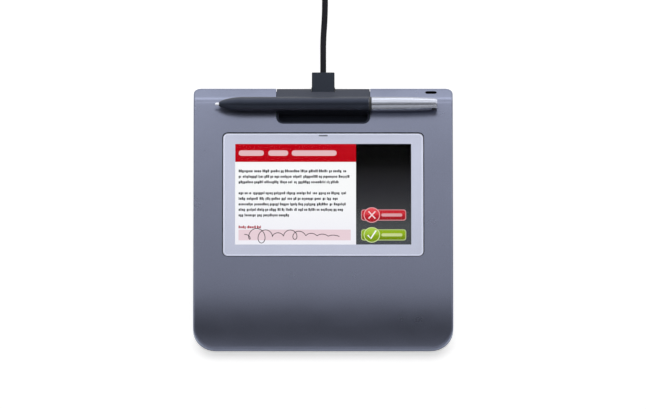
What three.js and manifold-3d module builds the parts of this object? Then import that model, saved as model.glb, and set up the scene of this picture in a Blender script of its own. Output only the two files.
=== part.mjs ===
// Signature pad: a desk tablet with a glass-covered display, a pen in a cradle at the back and a cable from
// the middle of the rear edge. All sizes are in millimetres.
// X runs to the right, Y to the back and Z up. The origin is on the desk, under the middle of the case.
// Inside the case group, Y counts from the front edge of the case.

import * as THREE from 'three';
import { mergeVertices } from 'three/addons/utils/BufferGeometryUtils.js';
import Module from 'manifold-3d';

const wasm = await Module();
wasm.setup();

const degrees = THREE.MathUtils.degToRad;

// Clearances and cuts
const seatGap = 0.3;
const seamGap = 0.3;
const joinDepth = 0.5;
const cutOverrun = 3;

// Case outline: laid out round the display, with a palm rest in front of it and the pen tray behind it
const palmDepth = 59.85;
const sideMargin = 18.3;
const trayMargin = 6.35;
const frontCornerRadius = 14;
const rearCornerRadius = 4.5;
const coverWall = 2;
const frontCornerSteps = 9;
const rearCornerSteps = 5;

// Top surface: a flat field that rises to the back, a rolled palm rest with a front lip, and a rear slope
const topSlope = degrees(1.8);
const bendInset = 13.3;
const bendRadius = 9;
const rearSlope = degrees(33);
const rollShare = 0.8;
const rollPower = 3;
const lipFlat = 2.2;
const lipEdgeRadius = 1.2;
const sideEdgeRadius = 1.2;
const edgeSteps = 4;
const rollShares = [0.36, 0.44, 0.52, 0.6, 0.68, 0.76, 0.84, 0.92, 1];
const bendShares = [0, 0.14, 0.28, 0.42, 0.56, 0.7, 0.85, 1];

// Bottom cover
const footReach = 1;
const bottomRim = 1.2;
const floorStep = 0.6;
const bottomChamfer = 0.6;
const tongueWall = 1.2;
const tongueHeight = 2.4;
const sideTongueStart = 34;
const sideTongueInset = 24;
const rearTongueGap = 7;
const rearTongueInset = 10.75;

// Feet
const footRadius = 6;
const footRecess = 0.8;
const footEdge = 0.3;
const footSideInset = 14.75;
const frontFootPlace = 20;
const rearFootInset = 16;
const footSteps = 24;

// Housing screws, from below into the bosses of the top cover
const screwHeadRadius = 2.3;
const screwSeatDepth = 1.4;
const screwHeadThickness = 1.15;
const screwShaftRadius = 1.1;
const screwTipGap = 0.6;
const cupWall = 1.6;
const cupRise = 1;
const bossWall = 1.8;
const pilotSkin = 1.4;
const bossSkin = 1.1;
const screwSteps = 16;
const frontScrewInset = 40.75;
const frontScrewPlace = 24;
const sideScrewInset = 8.75;
const rearScrewInset = 34;

// Palm-rest ribs of the top cover
const ribThickness = 1.2;
const ribShares = [-0.36, -0.12, 0.12, 0.36];

// Display stack, in the plane of the flat field, with depths that count down from that plane
const glassWidth = 124.9;
const glassDepth = 81.5;
const glassCorner = 3.1;
const glassThickness = 0.8;
const glassProud = 0.3;
const glassChamfer = 0.25;
const glassGroove = 0.4;
const borderSide = 7.85;
const borderEnd = 7.4;
const windowShift = 0.45;
const filmThickness = 0.2;
const filmMargin = 0.2;
const gasketThickness = 0.5;
const ledgeRim = 2.4;
const ledgeThickness = 1;
const ledgeSide = 1.8;
const ledgeEnd = 2.15;
const ledgeWindowCorner = 1.5;
const cornerSteps = 4;
const frameSideGap = 0.7;
const frameEndGap = 1;
const frameWall = 1.2;
const frameFloor = 0.3;
const panelGap = 0.6;
const panelThickness = 1.4;
const backlightThickness = 1;
const sensorInset = 0.8;
const sensorThickness = 0.6;
const shieldThickness = 0.3;
const stackClearance = 2.53;

// Display rests of the bottom cover
const restThickness = 1.4;
const restInset = 3;
const outerRestMargin = 10;
const innerRestMargin = 6;
const innerRestShare = 0.25;

// Main board
const boardMargin = 19;
const boardDepth = 53.5;
const boardThickness = 1;
const postHeight = 1.5;
const postWall = 1.4;
const boardScrewHeadRadius = 2;
const boardScrewHeadThickness = 0.8;
const boardScrewRadius = 0.9;
const boardScrewClearance = 0.5;
const rearPostSideInset = 5;
const rearPostInset = 8.4;
const frontPostInset = 4;
const processorSize = 12;
const processorThickness = 1;
const processorMargin = 6.5;
const sensorChipSize = 9;
const sensorChipThickness = 0.9;
const sensorChipMargin = 10;
const chipSideShare = 0.175;

// Flat cables and their connectors
const flexThickness = 0.25;
const flexRun = 6.2;
const flexAttach = 0.8;
const flatConnectorDepth = 4;
const flatConnectorHeight = 1.3;
const displayFlexWidth = 22;
const sensorFlexWidth = 12;
const flexSideShare = 0.275;

// Status light under the pale border
const lightWidth = 5.4;
const lightSlotDepth = 0.9;
const lightInset = 1.95;
const lightCutMargin = 0.5;
const pipeDepth = 1;
const statusLightHeight = 0.8;
const statusLightWidth = 3.2;
const statusLightDepth = 1.6;

// Pen tray, let into the rear edge
const trayWidth = 58;
const trayCorner = 3.9;
const trayRearCorner = 0.6;
const trayDrop = 0.5;
const fasciaDrop = 0.15;
const trayWall = 1.6;
const trayEndWall = 1.2;
const trayRim = 0.8;
const trayEdgeRadius = 0.8;
const trayRearSteps = 2;
const recessDepth = 6.685;
const recessDrop = 5.6;
const ridgeRise = 1;
const ridgeFlat = 0.5;
const saddleSteps = 8;

// Cable socket, and the notch that lets the connector in
const notchDepth = 8.3;
const socketWidth = 8.8;
const socketDepth = 7.9;
const socketHeight = 3.2;
const socketWall = 0.5;
const connectorWidth = 14.2;
const connectorLength = 17.9;
const connectorHeight = 6.4;
const connectorRise = 0.9;
const connectorCorner = 0.8;
const tongueSideGap = 0.6;
const tongueFaceGap = 0.4;
const tongueLength = 5.4;

// Lock slot in the rear slope
const lockSideInset = 13.55;
const lockInset = 2;
const lockLength = 7.3;
const lockWidth = 3;
const lockSteps = 8;
const lockPlateMargin = 3.5;
const lockPlateEdge = 1.6;
const lockPlateThickness = 1.2;

// Pen, turned about its own axis, with places from the nib's tip
const penRadius = 4.45;
const penLength = 138.4;
const penShift = 1.8;
const penInset = 15.4;
const penSteps = 28;
const nibReach = 2.5;
const nibRadius = 0.85;
const nibRodRadius = 0.8;
const nibShoulder = 12;
const nibClearance = 0.25;
const nibTipShares = [[0, 0], [0.5, 0.14], [0.86, 0.5], [1, 1]];
const noseWall = 0.25;
const noseLength = 15.6;
const noseSteps = 9;
const noseFullness = 0.75;
const gripEnd = 95.7;
const gripWall = 1.35;
const boreTaperStart = 13;
const boreTaperLength = 1.5;
const ringGap = 0.2;
const ringLength = 1.6;
const spigotLength = 7.7;
const rearBore = 2;
const rearBoreSkin = 2.9;
const rearTaperShares = [[0, 1], [0.35, 0.995], [0.62, 0.965], [0.84, 0.89], [0.98, 0.79], [1, 0.7]];
const tetherInset = 3.5;
const tetherLength = 2.6;
const tetherHeight = 2.8;
const ferriteLength = 12;
const innerGap = 0.5;
const pressTravel = 0.9;
const pressureLength = 6.1;
const penBoardEndGap = 8;
const penBoardWidth = 5;
const penBoardThickness = 0.8;

// Cable: the routes count from the middle of the connector's rear end, with heights above the desk
const cordDiameter = 3.8;
const cordSides = 8;
const cordStep = 9.5;
const runRoute = [
  [0, 0, 6.3], [0, 4.2, 6.3], [0, 8.8, 6.2], [0, 13.8, 5.6], [0, 18.8, 4.7], [0.1, 23.8, 3.7],
  [0.3, 28.8, 2.9], [0.6, 33.8, 2.3], [0.9, 39.8, 2], [1.1, 46.8, 1.95], [1.1, 53.8, 1.95], [0.8, 60.8, 1.95],
  [0.4, 67.8, 1.95], [0.1, 74.8, 1.95], [0, 81.8, 1.95], [0, 88.7, 1.95],
];
const tailRoute = [
  [0.35, 96.9, 15], [0.35, 101.1, 15], [0.8, 105.8, 14.6], [2.4, 111.3, 13.4], [5.8, 116.8, 11.5],
  [10.8, 121.2, 9.2], [17, 123.6, 6.8], [23.4, 123.4, 4.7], [29.2, 120.8, 3.1], [33.8, 116.4, 2.4],
  [36.8, 111.2, 2.5], [38.4, 106.8, 3.3], [39, 103.8, 3.9], [39, 99.4, 4],
];

// Coil: four layers of five turns, spiralling in and out by one pitch a turn
const coilLayers = 4;
const turnsPerLayer = 5;
const stepsPerTurn = 24;
const coilSides = 6;
const coilPitch = 4.35;
const coilMidRadius = 22.5;
const climbTurns = 0.5;
const coilTilt = degrees(1.5);

// Tie round the coil
const tieWidth = 4.5;
const tieThickness = 0.8;
const tieClearance = 0.4;
const tieCorner = 1.6;
const tieHeadLength = 6;
const tieHeadHeight = 3.6;
const tieHeadReach = 2.4;

// Computer plug
const plugWidth = 15.6;
const plugHeight = 8;
const plugLength = 22;
const plugCorner = 1.6;
const plugShellWidth = 12;
const plugShellHeight = 4.5;
const plugShellWall = 0.35;
const plugShellLength = 18;
const plugTongueThickness = 1.8;

// Heights of the covers above the desk
const partingHeight = footReach + bottomRim;
const floorHeight = partingHeight + floorStep;
const lipHeight = partingHeight + lipFlat + lipEdgeRadius;
const footThickness = footReach + footRecess;
const cupHeight = floorHeight + cupRise;
const screwHeadSeat = footReach + screwSeatDepth;
const boardBottom = floorHeight + postHeight;
const boardTop = boardBottom + boardThickness;

// Sizes and depths in the display stack
const windowWidth = glassWidth - 2 * borderSide;
const windowDepth = glassDepth - 2 * borderEnd;
const ledgeWindowWidth = glassWidth - 2 * ledgeSide;
const ledgeWindowDepth = glassDepth - 2 * ledgeEnd;
const frameWidth = ledgeWindowWidth - 2 * frameSideGap;
const frameDepth = ledgeWindowDepth - 2 * frameEndGap;
const panelWidth = frameWidth - 2 * (frameWall + panelGap);
const panelDepth = frameDepth - 2 * (frameWall + panelGap);
const sensorWidth = frameWidth - 2 * sensorInset;
const lightPlace = glassDepth / 2 - lightInset;
const glassBottom = glassProud - glassThickness;
const filmTop = glassBottom - seatGap;
const filmBottom = filmTop - filmThickness;
const gasketTop = filmBottom - seatGap;
const gasketBottom = gasketTop - gasketThickness;
const ledgeTop = gasketBottom - seatGap;
const ledgeBottom = ledgeTop - ledgeThickness;
const panelTop = filmBottom - seatGap;
const panelBottom = panelTop - panelThickness;
const backlightTop = panelBottom - seatGap;
const backlightBottom = backlightTop - backlightThickness;
const frameTop = filmBottom - joinDepth;
const frameFloorTop = backlightBottom - seatGap;
const frameBottom = frameFloorTop - frameFloor;
const sensorTop = frameBottom - seatGap;
const sensorBottom = sensorTop - sensorThickness;
const shieldTop = sensorBottom - seatGap;
const shieldBottom = shieldTop - shieldThickness;

// Places along the case, from its front edge
const saddleRadius = penRadius + seatGap;
const saddleHalf = Math.sqrt(saddleRadius ** 2 - (saddleRadius - ridgeRise) ** 2);
const ridgeReach = saddleHalf + ridgeFlat;
const caseWidth = glassWidth + 2 * sideMargin;
const rollLength = palmDepth * rollShare;
const screenPlace = palmDepth + glassDepth / 2;
const trayFront = palmDepth + glassDepth + trayMargin;
const caseDepth = trayFront + trayRim + recessDepth + ridgeReach + penInset;
const bendPlace = caseDepth - bendInset;
const penPlace = caseDepth - penInset;
const notchFront = caseDepth - notchDepth;
const boardRear = notchFront - seatGap;
const boardFront = boardRear - boardDepth;
const connectorFront = notchFront + seatGap;
const connectorRear = connectorFront + connectorLength;

// Heights of the top surface, set by what the display stack needs above the floor
const screenHeight = floorHeight + stackClearance + (frameDepth / 2) * Math.sin(topSlope)
  - shieldBottom * Math.cos(topSlope);
const bendHeight = screenHeight + (bendPlace - screenPlace) * Math.tan(topSlope);
const bendCentreY = bendPlace + bendRadius * Math.sin(topSlope);
const bendCentreZ = bendHeight - bendRadius * Math.cos(topSlope);
const bendEnd = bendCentreY + bendRadius * Math.sin(rearSlope);
const rollDrop = planeHeight(0) - lipHeight;

function planeHeight(y) {
  return screenHeight + (y - screenPlace) * Math.tan(topSlope);
}

function topHeight(y) {
  if (y > bendEnd) {
    return bendCentreZ + bendRadius * Math.cos(rearSlope) - (y - bendEnd) * Math.tan(rearSlope);
  }
  if (y > bendPlace) {
    return bendCentreZ + Math.sqrt(bendRadius ** 2 - (y - bendCentreY) ** 2);
  }
  return planeHeight(y) - rollDrop * Math.max(0, 1 - y / rollLength) ** rollPower;
}

const penHeight = topHeight(penPlace) + saddleRadius;
const ridgeTop = topHeight(penPlace) + ridgeRise;
const recessFloor = topHeight(trayFront) - recessDrop;
const screwTip = topHeight(frontScrewPlace) - pilotSkin - screwTipGap;
const restDrop = (seatGap - shieldBottom) / Math.cos(topSlope);

// Depth below the screen's plane of a level at a given height and place
function depthAt(height, y) {
  return (height - planeHeight(y)) / Math.cos(topSlope);
}

// Places and radii of the feet, the screws and the fittings
const footSide = caseWidth / 2 - footSideInset;
const rearFootPlace = caseDepth - rearFootInset;
const frontScrewSide = caseWidth / 2 - frontScrewInset;
const sideScrewSide = caseWidth / 2 - sideScrewInset;
const rearScrewPlace = caseDepth - rearScrewInset;
const middleScrewPlace = (frontScrewPlace + rearScrewPlace) / 2;
const pilotRadius = screwShaftRadius + seatGap;
const bossRadius = pilotRadius + bossWall;
const cupRadius = screwHeadRadius + seamGap + cupWall;
const postHoleRadius = boardScrewRadius + seatGap;
const postRadius = postHoleRadius + postWall;
const boardHoleRadius = boardScrewRadius + boardScrewClearance;
const lockSide = caseWidth / 2 - lockSideInset;
const lockPlace = caseDepth - coverWall - lockInset;
const boardWidth = sensorWidth - 2 * boardMargin;
const rearPostSide = boardWidth / 2 - rearPostSideInset;
const rearPostPlace = boardRear - rearPostInset;
const frontPostPlace = boardFront + frontPostInset;
const connectorBottom = partingHeight + connectorRise;
const connectorTop = connectorBottom + connectorHeight;
const connectorMiddle = (connectorBottom + connectorTop) / 2;
const notchWidth = connectorWidth + 2 * seatGap;
const notchTop = connectorTop + seatGap;

// Flat cables: they leave the rear edge of the frame and end above their connectors on the board
const flexFront = frameDepth / 2 + seatGap;
const flexSide = flexSideShare * boardWidth;
const flexFrontPlace = screenPlace + flexFront * Math.cos(topSlope);
const flexEnd = depthAt(boardTop + flatConnectorHeight + seatGap, flexFrontPlace);
const flatConnectorRear = screenPlace + (frameDepth / 2 + flexRun) * Math.cos(topSlope);
const flatConnectorPlace = flatConnectorRear - flatConnectorDepth / 2;
const flatConnectorFront = flatConnectorPlace - flatConnectorDepth / 2;
const lightPlaceOnBoard = screenPlace + lightPlace * Math.cos(topSlope);

// Pen: places from the nib's tip and radii that follow from the barrel
const penTipSide = penShift - penLength / 2;
const gripBore = penRadius - gripWall;
const spigotRadius = gripBore - seatGap;
const noseHole = nibRadius + nibClearance;
const noseRadius = noseHole + noseWall;
const boreTaperEnd = boreTaperStart + boreTaperLength;
const ferriteStart = boreTaperEnd + innerGap;
const ferriteEnd = ferriteStart + ferriteLength;
const nibLength = ferriteEnd;
const pressureStart = nibLength + pressTravel;
const pressureEnd = pressureStart + pressureLength;
const spigotStart = gripEnd - spigotLength;
const tetherStart = penLength - tetherInset;
const rearBoreEnd = tetherStart - rearBoreSkin;

// Materials
function finish(color, roughness, metalness = 0) {
  return new THREE.MeshStandardMaterial({ color, roughness, metalness });
}

const casePlastic = finish('#7c8198', 0.45);
const bottomPlastic = finish('#3a3c46', 0.6);
const trayPlastic = finish('#24262d', 0.5);
const clearGlass = finish('#cdd2e2', 0.15);
const borderSilver = finish('#c4c9dc', 0.5);
const foam = finish('#1c1c20', 0.95);
const displayFace = finish('#f2f2f4', 0.4);
const steel = finish('#9a9ca2', 0.35, 1);
const boardGreen = finish('#1f5a38', 0.6);
const chipBlack = finish('#1a1b1e', 0.5);
const flexAmber = finish('#a86a28', 0.5);
const clearPlastic = finish('#e8ecf0', 0.2);
const rubber = finish('#1b1b1d', 0.9);
const nibWhite = finish('#eef0f4', 0.4);
const gripBlack = finish('#262a32', 0.35);
const silverPlastic = finish('#a9adc0', 0.35, 0.6);
const cableBlack = finish('#232329', 0.45);

// Solids and geometries
function turnedOut(positions, triangles) {
  let volume = 0;
  const corner = (k) => new THREE.Vector3().fromArray(positions, 3 * triangles[k]);
  for (let k = 0; k < triangles.length; k += 3) {
    volume += corner(k).dot(corner(k + 1).cross(corner(k + 2)));
  }
  return volume > 0 ? triangles : triangles.toReversed();
}

function solidOf(geometry) {
  const bare = geometry.clone();
  bare.deleteAttribute('normal');
  bare.deleteAttribute('uv');
  const merged = mergeVertices(bare);
  const positions = new Float32Array(merged.attributes.position.array);
  const index = Array.from(merged.index.array);
  const triangles = [];
  for (let k = 0; k < index.length; k += 3) {
    const [a, b, c] = index.slice(k, k + 3);
    if (a !== b && b !== c && c !== a) triangles.push(a, b, c);
  }
  const triVerts = new Uint32Array(turnedOut(positions, triangles));
  return new wasm.Manifold(new wasm.Mesh({ numProp: 3, vertProperties: positions, triVerts }));
}

function geometryOf(solid) {
  const mesh = solid.getMesh();
  const geometry = new THREE.BufferGeometry();
  geometry.setAttribute('position', new THREE.BufferAttribute(mesh.vertProperties, 3));
  geometry.setIndex(new THREE.BufferAttribute(mesh.triVerts, 1));
  geometry.computeVertexNormals();
  return geometry;
}

function joined(first, ...others) {
  return others.reduce((sum, other) => sum.add(other), first);
}

function cutBy(first, ...others) {
  return others.reduce((rest, other) => rest.subtract(other), first);
}

function addPiece(parent, name, shape, material, place = [0, 0, 0]) {
  const geometry = shape.isBufferGeometry ? geometryOf(solidOf(shape)) : geometryOf(shape);
  const mesh = new THREE.Mesh(geometry, material);
  mesh.name = name;
  mesh.position.set(...place);
  parent.add(mesh);
}

// Anchors of the right half of a rounded rectangle, front to back: each has a centre, an angle and a radius,
// so the outline can be drawn in by any inset
function halfAnchors(width, depth, frontRadius, rearRadius, frontSteps, rearSteps, sidePlaces = []) {
  const anchors = [];
  const addArc = (radius, centreY, startAngle, steps) => {
    for (let step = 0; step <= steps; step += 1) {
      const angle = startAngle + (Math.PI / 2) * (step / steps);
      anchors.push({ x: width / 2 - radius, y: centreY, angle, radius });
    }
  };
  addArc(frontRadius, frontRadius, -Math.PI / 2, frontSteps);
  sidePlaces.forEach((y) => anchors.push({ x: width / 2, y, angle: 0, radius: 0 }));
  addArc(rearRadius, depth - rearRadius, 0, rearSteps);
  return anchors;
}

function loopOf(anchors, insetAt, heightAt) {
  const right = anchors.map((anchor) => {
    const reach = anchor.radius - insetAt(anchor);
    const x = anchor.x + reach * Math.cos(anchor.angle);
    const y = anchor.y + reach * Math.sin(anchor.angle);
    return new THREE.Vector3(x, y, heightAt(y));
  });
  const left = right.map((point) => new THREE.Vector3(-point.x, point.y, point.z)).reverse();
  return [...right, ...left];
}

// Skin through a row of loops, closed at both ends by strips between mirrored points
function loft(loops) {
  const count = loops[0].length;
  const positions = loops.flat().flatMap((point) => point.toArray());
  const faces = [];
  for (let level = 0; level + 1 < loops.length; level += 1) {
    for (let k = 0; k < count; k += 1) {
      const a = level * count + k;
      const b = level * count + ((k + 1) % count);
      faces.push(a, b, b + count, a, b + count, a + count);
    }
  }
  const last = (loops.length - 1) * count;
  for (let k = 0; k + 1 < count / 2; k += 1) {
    const mirror = count - 1 - k;
    faces.push(k, mirror - 1, k + 1, k, mirror, mirror - 1);
    faces.push(last + k, last + k + 1, last + mirror - 1, last + k, last + mirror - 1, last + mirror);
  }
  const geometry = new THREE.BufferGeometry();
  geometry.setAttribute('position', new THREE.Float32BufferAttribute(positions, 3));
  geometry.setIndex(faces);
  return geometry;
}

function roundedPoints(width, depth, radius, steps = cornerSteps) {
  const anchors = halfAnchors(width, depth, radius, radius, steps, steps);
  return loopOf(anchors, () => 0, () => 0).map((point) => new THREE.Vector2(point.x, point.y - depth / 2));
}

function ringShape(outerPoints, innerPoints) {
  const shape = new THREE.Shape(outerPoints);
  shape.holes.push(new THREE.Path(innerPoints));
  return shape;
}

function plate(shape, bottom, top) {
  const geometry = new THREE.ExtrudeGeometry(shape, { depth: top - bottom, bevelEnabled: false });
  return geometry.translate(0, 0, bottom);
}

function roundedPlate(width, depth, radius, bottom, top) {
  return plate(new THREE.Shape(roundedPoints(width, depth, radius)), bottom, top);
}

function block([left, right], [front, back], [bottom, top]) {
  const geometry = new THREE.BoxGeometry(right - left, back - front, top - bottom);
  return geometry.translate((left + right) / 2, (front + back) / 2, (bottom + top) / 2);
}

// Side profile of [y, z] points carried along X
function prism(profile, left, right) {
  const shape = new THREE.Shape(profile.map(([y, z]) => new THREE.Vector2(y, z)));
  const geometry = new THREE.ExtrudeGeometry(shape, { depth: right - left, bevelEnabled: false });
  const axes = [new THREE.Vector3(0, 1, 0), new THREE.Vector3(0, 0, 1), new THREE.Vector3(1, 0, 0)];
  return geometry.applyMatrix4(new THREE.Matrix4().makeBasis(...axes)).translate(left, 0, 0);
}

// Section in X and Z carried along Y
function bar(shape, front, back) {
  const geometry = new THREE.ExtrudeGeometry(shape, { depth: back - front, bevelEnabled: false });
  return geometry.rotateX(Math.PI / 2).translate(0, back, 0);
}

// Profile of [radius, z] points turned about Z
function turned(profile, steps) {
  const points = profile.map(([radius, z]) => new THREE.Vector2(radius, z));
  return new THREE.LatheGeometry(points, steps).rotateX(Math.PI / 2);
}

function closedTurned(profile, steps) {
  return turned([...profile, profile[0]], steps);
}

function rod(radius, bottom, top, steps = screwSteps) {
  return turned([[0, bottom], [radius, bottom], [radius, top], [0, top]], steps);
}

// Groups
const pad = new THREE.Group();
const caseGroup = new THREE.Group();
caseGroup.position.set(0, -caseDepth / 2, 0);
pad.add(caseGroup);

const screenGroup = new THREE.Group();
screenGroup.position.set(0, screenPlace, topHeight(screenPlace));
screenGroup.rotation.x = topSlope;
screenGroup.updateMatrix();
caseGroup.add(screenGroup);

const lockGroup = new THREE.Group();
lockGroup.position.set(lockSide, lockPlace, topHeight(lockPlace));
lockGroup.rotation.x = -rearSlope;
lockGroup.updateMatrix();
caseGroup.add(lockGroup);

const penGroup = new THREE.Group();
penGroup.position.set(penTipSide, penPlace, penHeight);
penGroup.rotation.y = Math.PI / 2;
caseGroup.add(penGroup);

function inCase(geometry, group) {
  return solidOf(geometry.applyMatrix4(group.matrix));
}

// Screws: side and place of each, by name
const housingScrews = {
  front_left: [-frontScrewSide, frontScrewPlace],
  front_right: [frontScrewSide, frontScrewPlace],
  middle_left: [-sideScrewSide, middleScrewPlace],
  middle_right: [sideScrewSide, middleScrewPlace],
  rear_left: [-sideScrewSide, rearScrewPlace],
  rear_right: [sideScrewSide, rearScrewPlace],
};
const boardScrews = {
  front: [0, frontPostPlace],
  rear_left: [-rearPostSide, rearPostPlace],
  rear_right: [rearPostSide, rearPostPlace],
};
const feet = {
  front_left: [-footSide, frontFootPlace],
  front_right: [footSide, frontFootPlace],
  rear_left: [-footSide, rearFootPlace],
  rear_right: [footSide, rearFootPlace],
};

function rodsAt(places, radius, bottomAt, topAt, steps) {
  return Object.values(places).map(([x, y]) => {
    const geometry = rod(radius, bottomAt(y), topAt(y), steps);
    return solidOf(geometry.translate(x, y, 0));
  });
}

// Case outline
const sidePlaces = [
  ...rollShares.map((share) => share * rollLength),
  ...bendShares.map((share) => bendPlace + share * (bendEnd - bendPlace)),
];
const caseAnchors = halfAnchors(
  caseWidth, caseDepth, frontCornerRadius, rearCornerRadius, frontCornerSteps, rearCornerSteps, sidePlaces,
);

function edgeRadius(anchor) {
  const y = anchor.y + anchor.radius * Math.sin(anchor.angle);
  const share = THREE.MathUtils.smoothstep(1 - y / frontCornerRadius, 0, 1);
  return THREE.MathUtils.lerp(sideEdgeRadius, lipEdgeRadius, share);
}

// Top cover: a moulded shell of even wall, with an edge radius that grows towards the front lip
function coverShell() {
  const loops = [
    loopOf(caseAnchors, () => coverWall, (y) => topHeight(y) - coverWall),
    loopOf(caseAnchors, () => coverWall, () => partingHeight),
    loopOf(caseAnchors, () => 0, () => partingHeight),
  ];
  for (let step = 0; step <= edgeSteps; step += 1) {
    const angle = (Math.PI / 2) * (step / edgeSteps);
    const loop = loopOf(caseAnchors, (anchor) => edgeRadius(anchor) * (1 - Math.cos(angle)), topHeight);
    const radii = [...caseAnchors, ...caseAnchors.toReversed()].map(edgeRadius);
    loop.forEach((point, k) => {
      point.z -= radii[k] * (1 - Math.sin(angle));
    });
    loops.push(loop);
  }
  return solidOf(loft(loops));
}

function palmRib(side) {
  const start = coverWall - joinDepth;
  const end = screenPlace - ledgeWindowDepth / 2 - ledgeRim * 3;
  const profile = [[start, floorHeight + seatGap], [end, floorHeight + seatGap]];
  const steps = rollShares.length + 1;
  for (let step = steps; step >= 0; step -= 1) {
    const y = start + (end - start) * (step / steps);
    profile.push([y, topHeight(y) - coverWall + joinDepth]);
  }
  return solidOf(prism(profile, side - ribThickness / 2, side + ribThickness / 2));
}

function trayPlan(width, front, radius, rear) {
  const anchors = halfAnchors(width, rear - front, radius, trayRearCorner, cornerSteps, trayRearSteps);
  const loop = loopOf(anchors, () => 0, () => 0);
  return new THREE.Shape(loop.map(({ x, y }) => new THREE.Vector2(x, y + front)));
}

function lightCut(bottom, top) {
  const half = lightWidth / 2 + lightCutMargin;
  const reach = pipeDepth / 2 + lightCutMargin;
  return block([-half, half], [lightPlace - reach, lightPlace + reach], [bottom, top]);
}

function lockShape() {
  const points = [];
  const run = (lockLength - lockWidth) / 2;
  for (const side of [1, -1]) {
    for (let step = 0; step <= lockSteps; step += 1) {
      const angle = Math.PI * (step / lockSteps) - Math.PI / 2;
      const reach = (lockWidth / 2) * Math.cos(angle);
      points.push(new THREE.Vector2(side * (run + reach), side * (lockWidth / 2) * Math.sin(angle)));
    }
  }
  return points;
}

function topCover() {
  const ledge = roundedPlate(
    glassWidth + 2 * (glassGroove + ledgeRim), glassDepth + 2 * (glassGroove + ledgeRim),
    glassCorner + ledgeRim, ledgeBottom, joinDepth - coverWall,
  );
  const pocket = roundedPlate(
    glassWidth + 2 * glassGroove, glassDepth + 2 * glassGroove, glassCorner + glassGroove,
    ledgeTop, cutOverrun,
  );
  const window = roundedPlate(
    ledgeWindowWidth, ledgeWindowDepth, ledgeWindowCorner, ledgeBottom - cutOverrun, cutOverrun,
  );
  const ribs = ribShares.map((share) => palmRib(share * caseWidth));
  const bosses = rodsAt(housingScrews, bossRadius, () => cupHeight, (y) => topHeight(y) - bossSkin);
  const pilotStart = () => cupHeight - cutOverrun;
  const pilots = rodsAt(housingScrews, pilotRadius, pilotStart, (y) => topHeight(y) - pilotSkin);
  const shell = joined(coverShell(), inCase(ledge, screenGroup), ...ribs, ...bosses);
  const trayShape = trayPlan(
    trayWidth + 2 * seamGap, trayFront - seamGap, trayCorner + seamGap, caseDepth + cutOverrun,
  );
  const trayCut = solidOf(plate(trayShape, partingHeight - cutOverrun, bendHeight + cutOverrun));
  const lockCut = plate(new THREE.Shape(lockShape()), -coverWall * 2, cutOverrun);
  return cutBy(
    shell, inCase(pocket, screenGroup), inCase(window, screenGroup),
    inCase(lightCut(ledgeBottom - cutOverrun, ledgeTop + cutOverrun / 2), screenGroup),
    trayCut, inCase(lockCut, lockGroup), ...pilots,
  );
}

// Bottom cover: a shallow dish that closes the shell, with everything that stands on it
function tongues() {
  const outer = caseWidth / 2 - coverWall - seamGap;
  const rear = caseDepth - coverWall - seamGap;
  const heights = [floorHeight - joinDepth, floorHeight + tongueHeight];
  return [1, -1].flatMap((side) => {
    const across = [outer - tongueWall, outer].map((x) => side * x).sort((a, b) => a - b);
    const along = [trayWidth / 2 + rearTongueGap, caseWidth / 2 - rearTongueInset].map((x) => side * x)
      .sort((a, b) => a - b);
    return [
      solidOf(block(across, [sideTongueStart, caseDepth - sideTongueInset], heights)),
      solidOf(block(along, [rear - tongueWall, rear], heights)),
    ];
  });
}

function displayRest(side, front, rear) {
  const base = floorHeight - joinDepth;
  const profile = [
    [front, base], [rear, base], [rear, planeHeight(rear) - restDrop], [front, planeHeight(front) - restDrop],
  ];
  return solidOf(prism(profile, side - restThickness / 2, side + restThickness / 2));
}

function bottomCover() {
  const inset = coverWall + seamGap;
  const dish = solidOf(loft([
    loopOf(caseAnchors, () => bottomChamfer, () => footReach),
    loopOf(caseAnchors, () => 0, () => footReach + bottomChamfer),
    loopOf(caseAnchors, () => 0, () => partingHeight),
    loopOf(caseAnchors, () => inset, () => partingHeight),
    loopOf(caseAnchors, () => inset, () => floorHeight),
  ]));
  const restReach = frameDepth / 2 - restInset;
  const outerRest = boardWidth / 2 + outerRestMargin;
  const innerRest = boardWidth * innerRestShare;
  const rests = [-1, 1].flatMap((side) => [
    displayRest(side * outerRest, screenPlace - restReach, screenPlace + restReach),
    displayRest(side * innerRest, screenPlace - restReach, boardFront - innerRestMargin),
  ]);
  const base = () => floorHeight - joinDepth;
  const cups = rodsAt(housingScrews, cupRadius, base, () => cupHeight);
  const posts = rodsAt(boardScrews, postRadius, base, () => boardBottom);
  const below = () => footReach - cutOverrun;
  return cutBy(
    joined(dish, ...tongues(), ...rests, ...cups, ...posts),
    ...rodsAt(feet, footRadius + seamGap, below, () => footThickness, footSteps),
    ...rodsAt(housingScrews, screwHeadRadius + seamGap, below, () => screwHeadSeat),
    ...rodsAt(housingScrews, pilotRadius, below, () => cupHeight + cutOverrun),
    ...rodsAt(boardScrews, postHoleRadius, () => floorHeight, () => boardBottom + cutOverrun),
  );
}

// Pen tray: finger recess, saddle for the pen and a strip that follows the rear slope
const trayRear = caseDepth - fasciaDrop;
const recessRear = penPlace - ridgeReach;
const recessUnderside = recessFloor - trayWall;

function fasciaPoints(drop, start, end) {
  const places = [start, ...sidePlaces.filter((y) => y > start + joinDepth && y < end - joinDepth), end];
  return places.map((y) => [y, topHeight(y) - drop]);
}

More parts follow.
